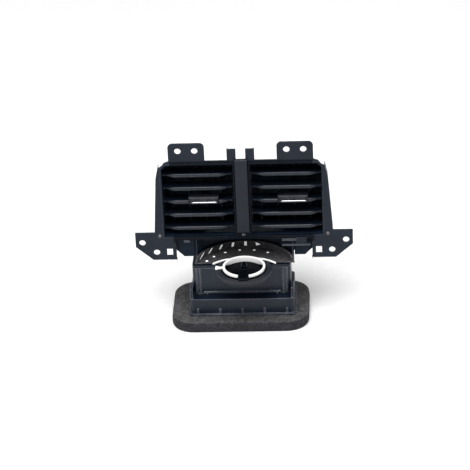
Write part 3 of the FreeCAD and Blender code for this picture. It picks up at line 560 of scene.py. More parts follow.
@dataclass(frozen=True)
class PrintedPaint(Finish):
    """White pad print, thin in places so that the plastic shows through its pits."""

    paint: Rgb = (0.95, 0.95, 0.94)
    ground: Rgb = (0.62, 0.62, 0.62)
    # painted light: the print glows a little so that it reads brighter than its lighting makes it
    glow: float = 0.30
    cells: float = 2600.0
    depth: float = 0.01
    drift: float = 500.0

    def fill(self, board: Board, place: Socket) -> dict:
        """Paint over the ground colour, thinner in the deepest pits, with a slight glow that paints
        light onto the print.
        """
        found = board.group(Effect.GRAIN, place, self.cells, self.depth, self.drift)
        return {
            "Base Color": board.blend(board.spread(found["Tone"], 0.58, 0.72), self.paint, self.ground),
            "Roughness": board.spread(found["Gloss"], *GLOSS_SPAN, (0.45, 0.65)),
            "Normal": found["Normal"],
            # painted light: emission that lifts the white print
            "Emission Color": (*self.paint, 1.0),
            "Emission Strength": self.glow,
        }


@dataclass(frozen=True)
class SealFoam(Finish):
    """Open-cell foam: matt, with dark pores and faintly lighter cell walls; its sides carry a darker
    painted shade than its top.
    """

    pore: Rgb = (0.008, 0.008, 0.008)
    wall: Rgb = (0.078, 0.078, 0.081)
    # painted shade: darker colour for the foam's sides than for its top
    side: Rgb = (0.034, 0.033, 0.039)
    cells: float = 480.0
    depth: float = 0.45

    def fill(self, board: Board, place: Socket) -> dict:
        """Colour from the pores, evened out by a slow tone, with painted shade on the sides and painted
        light on the top.
        """
        found = board.group(Effect.PORES, place, self.cells, self.depth)
        open_cell = board.spread(found["Walls"], 0.12, 0.55)
        tone = board.spread(found["Tone"], 0.36, 0.64, (0.62, 1.0))
        # painted light and shade: faces turned up take the wall colour, the sides a darker one
        lit_top_shaded_side = board.blend(board.spread(board.facing_up(), 0.2, 0.9), self.side, self.wall)
        return {
            "Base Color": board.blend(board.math("MULTIPLY", open_cell, tone), self.pore, lit_top_shaded_side),
            "Roughness": board.spread(found["Walls"], 0.1, 0.6, (0.98, 0.86)),
            "Normal": found["Normal"],
            "Specular IOR Level": 0.08,
            "Sheen Weight": 0.02,
            "Sheen Roughness": 0.6,
        }


PIVOT = (0.0, -21.0 * MM, 0.0)
FAR = 1.0
RADIAL = (0.0, 0.0, FAR)

# painted shade: the frame darkens round and between the outlets
OUTLET_PAINTED_SHADE = PaintedLightZone(
    centre=(0.0, 0.0, 113.0 * MM), half=(60.5 * MM, FAR, 38.5 * MM),
    low=0.0, high=2.2 * MM, tone=(0.0012, 0.0030, 0.0070), shine=0.1,
)
# painted light: the housing is lighter inside, behind the face
INNER_PAINTED_LIGHT = PaintedLightZone(
    centre=(0.0, 20.0 * MM, 106.0 * MM), half=(69.4 * MM, 16.0 * MM, 18.0 * MM),
    low=0.0, high=0.8 * MM, tone=(0.010, 0.017, 0.030), shine=0.15,
)
# painted shade: each slat darkens and loses shine behind its nose, so that a bright band stays on the
# nose
BEHIND_NOSE_PAINTED_SHADE = PaintedLightZone(
    centre=(0.0, -10.0 * MM, 0.0), half=(FAR, 12.0 * MM, FAR),
    low=0.0, high=1.4 * MM, tone=(0.0050, 0.0080, 0.0145), shine=0.12, inside=False,
)
# painted shade: the deck darkens inside the spring ring
JOURNAL_PAINTED_SHADE = PaintedLightZone(PIVOT, RADIAL, 17.0 * MM, 18.5 * MM, (0.0006, 0.0012, 0.0024), 0.04)
# painted shade: the dial darkens over its hub
HUB_PAINTED_SHADE = PaintedLightZone(PIVOT, RADIAL, 24.5 * MM, 26.5 * MM, (0.0080, 0.0105, 0.0160), 0.36)

FLOOR_PAPER = MouldedPlastic(
    "floor_paper", dark=(0.86, 0.86, 0.86), light=(0.90, 0.90, 0.90), rubbed=(0.90, 0.90, 0.90),
    smooth=0.8, rough=0.9, cells=400.0, depth=0.01, drift=3.0, specular=0.1, wear=0.0,
)
SLOT_FINISH = {
    "black_plastic": MouldedPlastic("black_moulding"),
    "slat_plastic": MouldedPlastic(
        "slat_moulding", dark=(0.005, 0.008, 0.014), light=(0.008, 0.012, 0.020),
        rubbed=(0.02, 0.025, 0.035), smooth=0.3, rough=0.42, cells=3000.0, depth=0.008,
        specular=0.4, wear=0.2, zone=BEHIND_NOSE_PAINTED_SHADE,
    ),
    "bar_plastic": MouldedPlastic(
        "bar_moulding", dark=(0.006, 0.008, 0.014), light=(0.008, 0.011, 0.018),
        rubbed=(0.05, 0.055, 0.065), smooth=0.42, cells=3000.0, depth=0.010,
    ),
    "knob_plastic": MouldedPlastic(
        "knob_moulding", dark=(0.003, 0.004, 0.007), light=(0.006, 0.008, 0.012),
        rubbed=(0.03, 0.034, 0.042), smooth=0.4, rough=0.55, cells=1800.0, depth=0.03, wear=0.25,
    ),
    "knob_chrome": PlatedMetal("bright_plating"),
    "dial_plastic": MouldedPlastic(
        "dial_moulding", dark=(0.014, 0.014, 0.016), light=(0.064, 0.064, 0.069),
        rubbed=(0.1, 0.095, 0.095), smooth=0.5, rough=0.68, cells=1500.0, depth=0.05, drift=900.0,
        specular=0.3, zone=HUB_PAINTED_SHADE,
    ),
    "white_print": PrintedPaint("pad_print"),
    "white_plastic": MouldedPlastic(
        "white_resin", dark=(0.86, 0.86, 0.85), light=(0.90, 0.90, 0.89), rubbed=(0.92, 0.92, 0.92),
        smooth=0.26, rough=0.38, cells=1500.0, depth=0.006, specular=0.5, wear=0.4, soft=0.08,
    ),
    # its edges carry a bright painted highlight line
    "grey_plastic": MouldedPlastic(
        "grey_clip", dark=(0.014, 0.018, 0.026), light=(0.028, 0.034, 0.044),
        rubbed=(0.2, 0.22, 0.25), smooth=0.3, rough=0.42, cells=2600.0, depth=0.01, specular=0.45,
    ),
    "dark_steel": PlatedMetal(
        "zinc_screw", tint=(0.36, 0.36, 0.38), haze=(0.22, 0.22, 0.23), smooth=0.25, rough=0.45,
        cells=2600.0, depth=0.012,
    ),
    "seal_foam": SealFoam("cut_foam"),
}
NODE_FINISH = {
    "vent_housing": MouldedPlastic(
        "housing_moulding", dark=(0.0014, 0.005, 0.012), light=(0.0035, 0.010, 0.021),
        rubbed=(0.03, 0.035, 0.045), smooth=0.5, rough=0.65, specular=0.15, zone=INNER_PAINTED_LIGHT,
    ),
    "vane": MouldedPlastic(
        "vane_moulding", dark=(0.004, 0.007, 0.013), light=(0.008, 0.013, 0.023),
        rubbed=(0.02, 0.024, 0.032), smooth=0.5, rough=0.62, specular=0.15,
    ),
    "face_frame": MouldedPlastic("frame_moulding", zone=OUTLET_PAINTED_SHADE),
    "dial_deck": MouldedPlastic("deck_moulding", smooth=0.3, rough=0.44, zone=JOURNAL_PAINTED_SHADE),
    "retaining_post": MouldedPlastic(
        "post_moulding", dark=(0.0006, 0.0012, 0.0024), light=(0.0012, 0.0022, 0.0040),
        rubbed=(0.02, 0.022, 0.028), specular=0.12,
    ),
    # its edges and ribs carry a strong painted highlight
    "duct_": MouldedPlastic(
        "duct_moulding", rubbed=(0.2, 0.21, 0.25), smooth=0.28, rough=0.42, specular=0.3, wear=1.0,
        edge=1.1 * MM,
    ),
}
FINE_NODES = ("vane", "link", "clips")


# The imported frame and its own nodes


@dataclass
class Vent:
    """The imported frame, with the places that the pieces are set by."""

    frame: dict

    def pivot(self, joint: str) -> Array:
        """Return the point that a joint turns about."""
        found = next(j for j in self.frame["joints"] if j["name"] == joint)
        return np.array(found["pos_m"], float)

    def box(self, node: str) -> tuple[Array, Array]:
        """Return the lowest and highest corner of a node."""
        low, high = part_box(node)
        return np.array(low), np.array(high)

    def add(
        self, shape: Shape, name: str, body: str, slot: str, *nodes: str, sharp: float = SHARP
    ) -> bpy.types.Object:
        """Make a piece, with the finish of its slot, and set it on its body.

        Args:
            shape: points and faces.
            name: name of the piece.
            body: CAD body that it moves with.
            slot: material slot of the record.
            nodes: CAD nodes that it stands for.
            sharp: edges that turn by more degrees than this stay sharp.

        Returns:
            The piece.
        """
        piece = shape.build(name, SLOT_FINISH[slot], sharp)
        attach(piece, body)
        if nodes:
            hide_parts(*nodes)
        log.info("%s: %d faces on %s", piece.name, len(piece.data.polygons), body)
        return piece


Mm = NewType("Mm", float)


@dataclass
class Piece:
    """Something made on the vent; its fields of type Mm are given in millimetres."""

    vent: Vent

    def __post_init__(self) -> None:
        """Turn millimetres into metres."""
        for field in fields(self):
            if field.type is Mm:
                setattr(self, field.name, getattr(self, field.name) * MM)


@dataclass
class Mouldings(Piece):
    """Nodes whose CAD shape stays: they get their finish and softened edges."""

    round_width: Mm = 0.32
    fine_width: Mm = 0.15
    flat_turn: float = math.radians(0.6)
    edge_turn: float = math.radians(28.0)

    def dress(self) -> None:
        """Finish every CAD node by the slot that the record gives it."""
        for part in self.vent.frame["record"]["subparts"]:
            node = self.vent.frame["nodes"][part["node"]]
            own = [finish for word, finish in NODE_FINISH.items() if word in node.name]
            (own or [SLOT_FINISH[part["material_slot"]]])[0].dress(node)
            if node.hide_render:
                continue
            fine = any(word in node.name for word in FINE_NODES)
            self.soften(node, self.fine_width if fine else self.round_width)
            log.info("%s: CAD shape, %s", node.name, part["material_slot"])

    def soften(self, node: bpy.types.Object, width: float) -> None:
        """Merge the node's loose triangles, join flat ones and round the edges between the rest."""
        weld = node.modifiers.new("merge", "WELD")
        weld.merge_threshold = MERGE
        flat = node.modifiers.new("join_flat", "DECIMATE")
        flat.decimate_type = "DISSOLVE"
        flat.angle_limit = self.flat_turn
        edges = node.modifiers.new("soft_edges", "BEVEL")
        edges.width = width
        edges.segments = 2
        edges.limit_method = "ANGLE"
        edges.angle_limit = self.edge_turn
        edges.use_clamp_overlap = False
        edges.harden_normals = True


# Foam seal


@dataclass
class FoamSeal(Piece):
    """Die-cut ring of foam under the duct's flange."""

    corner: Mm = 20.0
    hole_width: Mm = 84.0
    hole_depth: Mm = 45.5
    hole_corner: Mm = 2.0
    edge_round: Mm = 1.6
    waist: Mm = 0.35
    swell: Mm = 0.45
    squeeze: Mm = 0.2
    ripple: Mm = 0.16
    crown_share: float = 0.62
    press_share: tuple = (0.5, 0.12)
    ripple_turns: tuple = (5, 13)
    second_ripple: float = 0.6
    ripple_lag: float = 1.3
    ripple_climb: float = 1.2
    round_steps: int = 14
    side_steps: int = 40
    edge_steps: int = 5
    wall_steps: int = 8
    top_steps: int = 12
    fill: float = 0.9

    def loop(self, inset: float, share: float) -> Array:
        """Outline between the outer edge and the hole.

        It is the outer outline drawn in by inset, mixed by share with the hole's outline grown
        by inset, point by point.
        """
        steps = (self.round_steps, self.side_steps)
        outer = rounded_loop(
            self.width - 2 * inset, self.depth - 2 * inset, self.corner - inset, *steps
        )
        hole = rounded_loop(
            self.hole_width + 2 * inset, self.hole_depth + 2 * inset, self.hole_corner + inset, *steps
        )
        return (1.0 - share) * outer + share * (hole + self.hole_shift)

    def profile(self) -> Array:
        """Section of the ring, from its outer foot to its sole.

        Returns:
            Inset, share and height of each outline: foot, wall, edge, top, inner edge and sole.
        """
        turn = np.linspace(0.0, math.pi / 2.0, self.edge_steps + 1)
        r = self.edge_round
        rise = np.linspace(r, self.height - r, self.wall_steps + 1)[1:-1]
        drawn = self.waist * (2.0 * rise / self.height - 1.0) ** 2
        share = np.linspace(0.0, 1.0, self.top_steps + 1)[1:-1]
        bulge = np.sin(math.pi * np.clip(share / self.crown_share, 0.0, 1.0))
        pressed = smooth_step((share - self.press_share[0]) / self.press_share[1])
        crown = self.height + self.swell * bulge - self.squeeze * pressed
        end = self.waist + r - r * np.sin(turn)
        drop = r - r * np.cos(turn)
        parts = (
            (end, 0.0, drop),
            (drawn, 0.0, rise),
            (end[::-1], 0.0, self.height - drop[::-1]),
            (r, share, crown),
            (end, 1.0, self.height - self.squeeze - drop),
            (end[::-1], 1.0, drop[::-1]),
            (r, share[::-1], 0.0),
        )
        return np.concatenate([np.column_stack(np.broadcast_arrays(*part)) for part in parts])

    def build(self) -> None:
        """Stack the section's outlines and ripple the walls as cut foam does."""
        low, high = self.vent.box("foam_seal")
        self.width, self.depth, self.height = high - low
        centre = (low + high) / 2.0
        duct_low, duct_high = self.vent.box("duct_front")
        self.hole_shift = row((duct_low[0] + duct_high[0]) / 2.0 - centre[0], 0.0)
        rings = []
        for inset, share, height in self.profile():
            flat = self.loop(inset, share)
            angle = np.arctan2(flat[:, 1], flat[:, 0])
            slow, quick = self.ripple_turns
            wave = np.sin(slow * angle + self.ripple_climb * height / MM)
            wave = wave + self.second_ripple * np.sin(quick * angle + self.ripple_lag)
            lift = self.ripple * wave * math.sin(math.pi * min(1.0, height / self.height))
            reach = np.linalg.norm(flat, axis=1, keepdims=True)
            drawn = flat * (1.0 - np.abs(lift)[:, None] / reach) if share == 0.0 else flat
            rings.append(np.column_stack([drawn + centre[:2], np.full(len(flat), height)]))
        shape = Shape().grid(np.array(rings), ring_rows=True)
        foam = self.vent.add(shape, "foam_ring", "vent", "seal_foam", "foam_seal", sharp=80.0)


# Slats


@dataclass
class Slat(Piece):
    """One horizontal slat: a blade with a fuller nose in its middle, and its pins."""

    side: str
    number: int
    nose_front: Mm = 8.5
    blade_front: Mm = 5.6
    rear: Mm = 7.0
    nose_half: Mm = 2.05
    nose_start: float = 0.25
    undercut: Mm = 0.4
    front_round: float = 0.9
    blade_half: Mm = 0.9
    rear_half: Mm = 0.75
    nose_depth: Mm = 5.0
    nose_length: Mm = 56.0
    nose_fade: Mm = 9.0
    corner: Mm = 6.0
    inner: Mm = 8.7
    outer: Mm = 68.6
    pin_radius: Mm = 1.2
    inner_pin: Mm = 4.8
    outer_pin: Mm = 70.4
    crank: Mm = 4.5
    crank_radius: Mm = 0.9
    crank_end: Mm = 6.4
    run_in: Mm = 0.5
    chamfer: Mm = 0.2
    pin_steps: int = 20
    stations: int = 72
    steps: int = 22

    def blade(self, pivot: Array, sign: float) -> Array:
        """Sections of the blade from its inner to its outer end.

        Half thickness falls in smooth steps from the nose to the blade and on to the rear, and
        closes at both ends as a half circle. Along the slat the nose fades out with a smooth
        step, and the outer rear corner is cut off slantwise. Near the front each point moves
        back by the undercut times its depth under the nose's top.
        """
        reach = np.linspace(self.inner, self.outer, self.stations)
        middle = (self.inner + self.outer) / 2.0
        from_end = self.nose_length / 2.0 - np.abs(reach - middle)
        fullness = smooth_step(from_end / self.nose_fade)[:, None]
        front = self.blade_front + (self.nose_front - self.blade_front) * fullness
        rear = self.rear - np.clip(self.corner - (self.outer - reach), 0.0, None)[:, None]
        share = (1.0 - np.cos(np.linspace(0.0, math.pi, self.steps))) / 2.0
        y = -front + (front + rear) * share
        behind = (y + front) / self.nose_depth
        nose = self.blade_half + (self.nose_half - self.blade_half) * fullness
        half = nose + (self.blade_half - nose) * smooth_step(behind - self.nose_start)
        half = half + (self.rear_half - self.blade_half) * smooth_step(y / self.rear)
        front_gap = np.clip((y + front) / (self.front_round * nose), 0.0, 1.0)
        rear_gap = np.clip((rear - y) / self.rear_half, 0.0, 1.0)
        half = half * np.sqrt(front_gap * (2.0 - front_gap)) * np.sqrt(rear_gap * (2.0 - rear_gap))
        loop_y = np.concatenate([y, y[:, -2:0:-1]], axis=1)
        loop_z = np.concatenate([half, -half[:, -2:0:-1]], axis=1)
        near = 1.0 - smooth_step((loop_y + front) / self.nose_depth)
        depth_share = np.clip(0.5 - 0.5 * loop_z / self.nose_half, 0.0, 1.0)
        loop_y = loop_y + self.undercut * fullness * near * depth_share
        x = np.broadcast_to(sign * reach[:, None], loop_y.shape)
        return np.stack([x, pivot[1] + loop_y, pivot[2] + loop_z], axis=-1)

    def build(self) -> None:
        """Make the blade, its two pins and its crank pin as one piece."""
        name = f"{self.side}_slat_{self.number}"
        sign = SIDES[self.side]
        row_mark = "" if self.number == MIDDLE_SLAT else f"_{self.number}"
        pivot = self.vent.pivot(f"{self.side}_tilt{row_mark}")
        axis = row(sign, 0.0, 0.0)
        hub = row(0.0, pivot[1], pivot[2])
        crank = hub + row(0.0, self.crank, 0.0)
        shape = Shape().grid(self.blade(pivot, sign), capped=True)
        pins = (
            (hub, self.pin_radius, self.inner_pin, self.inner + self.run_in),
            (hub, self.pin_radius, self.outer - self.run_in, self.outer_pin),
            (crank, self.crank_radius, self.crank_end, self.inner + self.run_in),
        )
        for centre, radius, start, end in pins:
            profile = pin_profile(radius, start, end, self.chamfer)
            shape.grid(turned(profile, centre, axis, self.pin_steps))
        self.vent.add(shape, f"{name}_blade", name, "slat_plastic", name)


# Knobs


@dataclass
class KnobDress(Piece):
    """Ribbed grip and plated strip on the front of a sliding knob."""

    side: str
    margin: Mm = 1.9
    strip_gap: Mm = 0.5
    top_gap: Mm = 1.3
    end_fade: Mm = 0.8
    row_fade: Mm = 0.3
    rib_pitch: Mm = 0.75
    rib_height: Mm = 0.28
    rib_sunk: Mm = 0.02
    sunk: Mm = 0.25
    strip_sunk: Mm = 0.3
    strip_taper: Mm = 2.0
    strip_height: Mm = 1.7
    strip_start: Mm = 1.2
    strip_tip: float = 0.02
    strip_bulge: float = 0.8
    strip_steps: int = 13
    stations: int = 90
    rows: int = 60

    def grip(self) -> Array:
        """Ribs across the knob's front, as a closed pad.

        The height is a rib wave up the face, times a fade at all four edges; the back of the
        pad lies a little inside the knob.
        """
        low, high = self.vent.box(f"{self.side}_knob")
        strip_top = self.vent.box(f"{self.side}_knob_trim")[1][2]
        x = np.linspace(low[0] + self.margin, high[0] - self.margin, self.stations)
        z = np.linspace(strip_top + self.strip_gap, high[2] - self.top_gap, self.rows)
        across, up = np.meshgrid(x, z)
        edge_x = np.minimum(across - x[0], x[-1] - across)
        edge_z = np.minimum(up - z[0], z[-1] - up)
        fade = smooth_step(edge_x / self.end_fade) * smooth_step(edge_z / self.row_fade)
        wave = 0.5 - 0.5 * np.cos(FULL_TURN * (up - z[0]) / self.rib_pitch)
        y = low[1] - self.rib_height * wave * fade + self.rib_sunk
        return np.stack([across, y, up], axis=-1)

    def strip(self) -> Array:
        """Half-round strip, swept along the knob and drawn in towards both ends.

        The section is a half ellipse; its height shrinks with the square root of a circle's
        fall over the taper.
        """
        low, high = self.vent.box(f"{self.side}_knob_trim")
        x = np.linspace(low[0] + self.strip_start, high[0], self.stations)
        from_end = np.minimum(x - x[0], high[0] - x) / self.strip_taper
        near = np.clip(from_end, self.strip_tip, 1.0)
        size = np.sqrt(near * (2.0 - near))[:, None]
        turn = np.linspace(0.0, math.pi, self.strip_steps)
        depth = high[1] - low[1]
        out = -depth * np.sin(turn) ** self.strip_bulge * size
        up = self.strip_height / 2.0 * np.cos(turn) * size
        back = np.full((len(x), 1), self.strip_sunk)
        y = np.concatenate([out, back, back], axis=1) + high[1]
        z = np.concatenate([up, up[:, -1:], up[:, :1]], axis=1) + (low[2] + high[2]) / 2.0
        return np.stack([np.broadcast_to(x[:, None], y.shape), y, z], axis=-1)

    def build(self) -> None:
        """Make the grip and the strip."""
        front = self.grip()
        back = front.copy()
        back[..., 1] = front[0, 0, 1] + self.sunk
        body = f"{self.side}_knob"
        shape = Shape().grid(front, ring_columns=False).grid(back[:, ::-1], ring_columns=False)
        rim = np.concatenate([front[0], front[1:-1, -1], front[-1, ::-1], front[-2:0:-1, 0]])
        rim_back = rim.copy()
        rim_back[:, 1] = back[0, 0, 1]
        shape.grid(np.array([rim, rim_back]))
        self.vent.add(shape, f"{body}_grip", body, "knob_plastic")
        shape = Shape().grid(self.strip(), capped=True)
        self.vent.add(shape, f"{body}_strip", body, "knob_chrome", f"{body}_trim")


# Dial marks, spring ring and screws


@dataclass
class DialScale(Piece):
    """White marks on the dial: dots on its web, ticks and a pointer on its rim."""

    dot_circle: Mm = 38.0
    dot_radius: Mm = 1.2
    dot_turns: tuple = (151.0, 136.0, 117.7, 97.7, 78.3, 58.4)
    tick_step: float = math.radians(14.9)
    tick_lean: float = math.radians(6.0)
    rim_low: Mm = 57.1
    rim_high: Mm = 61.7
    rim_foot: Mm = 44.8
    rim_lean: float = 2.2 / 7.8
    rim_base: Mm = 1.3
    thick: Mm = 0.18
    sunk: Mm = 0.05
    tick_width: Mm = 1.5
    tick_growth: Mm = 0.18
    tick_points: int = 4
    ticks: int = 5
    pointer_turn: float = 0.045
    pointer_half: Mm = 1.7
    pointer_tip: float = 0.08
    pointer_points: int = 5
    dome_steps: int = 6
    dot_steps: int = 24

    def dot(self, centre: Array, angle: float) -> Array:
        """Low dome of ink: radius runs out as a sine while the height falls as a cosine."""
        place = centre + self.dot_circle * row(math.cos(angle), math.sin(angle), 0.0)
        turn = np.linspace(0.0, math.pi / 2.0, self.dome_steps)
        profile = np.stack([self.dot_radius * np.sin(turn), self.thick * np.cos(turn)], axis=-1)
        profile = np.concatenate([profile, [(0.0, 0.0)]])
        return turned(profile, place, UP, self.dot_steps)

    def patch(self, centre: Array, angles: Array, low: Array, high: Array, lean: float = 0.0) -> Array:
        """Thin plate on the rim's inner cone, as its outline in the ink's face and in the wall.

        The outline runs along the angles at the low heights and back, less the lean, at the high.
        """
        around = np.concatenate([angles, angles[::-1] - lean])
        height = np.concatenate([low, high[::-1]])
        cone = self.rim_foot - self.rim_lean * (height - self.web + self.rim_base)
        plates = []
        for sunk in (-self.thick, self.sunk):
            reach = cone + sunk
            flat = centre[:2] + reach[:, None] * np.stack([np.cos(around), np.sin(around)], axis=-1)
            plates.append(np.column_stack([flat, height]))
        return np.array(plates)

    def build(self) -> None:
        """Print the dots, the ticks and the pointer."""
        self.web = self.vent.box("dial_scale")[0][2]
        pivot = self.vent.pivot("dial_turn")
        centre = row(pivot[0], pivot[1], self.web)
        shape = Shape()
        for degrees in self.dot_turns:
            shape.grid(self.dot(centre, math.radians(degrees)))
        for number in range(self.ticks):
            middle = math.pi / 2.0 + (self.ticks - 1 - number) * self.tick_step
            half = (self.tick_width + self.tick_growth * number) / 2.0 / self.rim_foot
            angles = middle + np.linspace(half, -half, self.tick_points)
            level = np.ones(self.tick_points)
            lean = self.tick_lean * (1.0 - number / (self.ticks - 1)) ** 1.5
            low, high = self.rim_low * level, self.rim_high * level
            shape.grid(self.patch(centre, angles + lean / 2.0, low, high, lean), capped=True)
        point = math.pi / 2.0 - self.tick_step
        angles = point + np.linspace(self.pointer_turn, -self.pointer_turn, self.pointer_points)
        spread = self.pointer_half * np.linspace(1.0, self.pointer_tip, self.pointer_points)
        middle = (self.rim_low + self.rim_high) / 2.0
        shape.grid(self.patch(centre, angles, middle - spread, middle + spread), capped=True)
        self.vent.add(shape, "dial_marks", "dial", "white_print", "dial_scale", sharp=60.0)


@dataclass
class SpringRing(Piece):
    """White ring round the dial's journal, open at the front, with two long arms and a lug."""

    radius: Mm = 18.6
    wall: Mm = 2.0
    gap_half: Mm = 4.75
    edge: Mm = 0.45
    arm_centre: Mm = 22.0
    arm_radius: Mm = 40.8
    arm_width: Mm = 1.3
    arm_reach: Mm = 27.6
    arm_low: Mm = 58.2
    arm_high: Mm = 59.7
    web_reach: Mm = 15.5
    lug_length: Mm = 6.3
    lug_waist: Mm = 2.8
    lug_end: Mm = 5.0
    front_cut: float = 0.56
    cut_span: tuple = (0.8, 0.6)
    arm_edge: Mm = 0.35
    lug_edge: Mm = 0.4
    flare_span: tuple = (0.45, 0.4)
    web_overlap: tuple = (0.6 * MM, 0.2 * MM)
    band_steps: int = 150
    arm_steps: int = 90
    web_steps: int = 41
    lug_steps: int = 16

    def along_arc(self, section: Array, centre: Array, radius: float, angles: Array) -> Array:
        """Sweep a section round a circle: its first axis points outward and its second up."""
        outward = np.column_stack([np.cos(angles), np.sin(angles), np.zeros(len(angles))])
        return swept(section, centre + radius * outward, outward, UP)

    def build(self) -> None:
        """Make the band, the arms with their web, and the lug as one piece.

        The band's foot rises towards the front by a smooth step of the sine of its angle.
        """
        low, high = self.vent.box("spring_ring")
        pivot = self.vent.pivot("dial_turn")
        middle = row(pivot[0], pivot[1], (low[2] + high[2]) / 2.0)
        band = rounded_loop(self.wall, high[2] - low[2], self.edge, 4)
        mid_radius = self.radius - self.wall / 2.0
        gap = math.asin(self.gap_half / mid_radius)
        round_trip = np.linspace(-math.pi / 2.0 + gap, 1.5 * math.pi - gap, self.band_steps)
        lowered = smooth_step((self.cut_span[0] - np.sin(round_trip)) / self.cut_span[1])
        kept = 1.0 - self.front_cut * lowered[:, None]
        top = (high[2] - low[2]) / 2.0
        widths = np.broadcast_to(band[:, 0], (self.band_steps, len(band)))
        bands = np.stack([widths, top - (top - band[:, 1]) * kept], axis=-1)
        shape = Shape().grid(self.along_arc(bands, middle, mid_radius, round_trip), capped=True)

        arm_level = (self.arm_low + self.arm_high) / 2.0
        arm_centre = row(pivot[0], pivot[1] - self.arm_centre, arm_level)
        strip = rounded_loop(self.arm_width, self.arm_high - self.arm_low, self.arm_edge, 3)
        arm_mid = self.arm_radius - self.arm_width / 2.0
        swing = math.asin(self.arm_reach / self.arm_radius)
        fan = np.linspace(math.pi / 2.0 + swing, math.pi / 2.0 - swing, self.arm_steps)
        shape.grid(self.along_arc(strip, arm_centre, arm_mid, fan), capped=True)

        x = np.linspace(-self.web_reach, self.web_reach, self.web_steps)
        inside = pivot[1] + np.sqrt((self.radius - self.web_overlap[0]) ** 2 - x**2)
        outside = arm_centre[1] + np.sqrt((arm_mid + self.web_overlap[1]) ** 2 - x**2)
        sides = ((inside, self.arm_low), (outside, self.arm_low))
        sides += ((outside, self.arm_high), (inside, self.arm_high))
        edges = [np.column_stack([x, y, np.full(len(x), z)]) for y, z in sides]
        shape.grid(np.stack(edges, axis=1), capped=True)

        start = -self.radius + self.wall / 2.0
        steps = np.linspace(0.0, 1.0, self.lug_steps)
        reach = start - (self.lug_length + self.wall / 2.0) * steps
        opened = smooth_step((steps - self.flare_span[0]) / self.flare_span[1])
        flare = self.lug_waist + (self.lug_end - self.lug_waist) * opened
        half = flare[:, None, None] / self.lug_end
        plate = rounded_loop(self.lug_end, self.arm_high - self.arm_low, self.lug_edge, 3)
        sections = plate * np.concatenate([half, np.ones_like(half)], axis=-1)
        origins = np.zeros((self.lug_steps, 3)) + row(0.0, pivot[1], arm_level)
        origins[:, 0] = reach
        shape.grid(swept(sections, origins, BACK, UP), capped=True)
        self.vent.add(shape, "white_spring_ring", "vent", "white_plastic", "spring_ring")


@dataclass
class ScrewHeads(Piece):
    """Three small screws in the frame's lower edge, each with a crossed drive."""

    radius: Mm = 1.6
    height: Mm = 0.8
    arm_half: Mm = 0.27
    arm_reach: Mm = 1.15
    recess: Mm = 0.55
    soft_edge: Mm = 0.12
    dome_drop: float = 0.35
    rim_drop: float = 0.92
    rings: int = 26
    steps: int = 96

    def head(self, centre: Array) -> Array:
        """Domed head with a cross sunk in it.

        Height falls with the square of the radius and drops at the rim. It is lowered by the
        recess where an offset from the centre is under the arm's half width and the radius is
        under its reach.
        """
        share = np.linspace(0.0, 1.0, self.rings)[:, None]
        angle = np.arange(self.steps)[None] * FULL_TURN / self.steps
        u = self.radius * share * np.cos(angle)
        v = self.radius * share * np.sin(angle)
        dome = self.height * (1.0 - self.dome_drop * share**2)
        dome = dome * np.sqrt(1.0 - self.rim_drop * share**12)
        offset = np.minimum(np.abs(u), np.abs(v))
        cross = smooth_step((self.arm_half - offset) / self.soft_edge + 0.5)
        cross = cross * smooth_step((self.arm_reach - self.radius * share) / self.soft_edge + 0.5)
        rise = dome - self.recess * cross
        front = np.stack([centre[0] + u, centre[1] - rise, centre[2] + v], axis=-1)
        back = front[-1:].copy()
        back[..., 1] = centre[1]
        return np.concatenate([front, back])

    def build(self) -> None:
        """Make the three heads as one piece."""
        low, high = self.vent.box("frame_screws")
        level = (low[2] + high[2]) / 2.0
        shape = Shape()
        for x in (low[0] + self.radius, 0.0, high[0] - self.radius):
            shape.grid(self.head(row(x, high[1], level)))
        self.vent.add(shape, "frame_screw_heads", "vent", "dark_steel", "frame_screws", sharp=50.0)


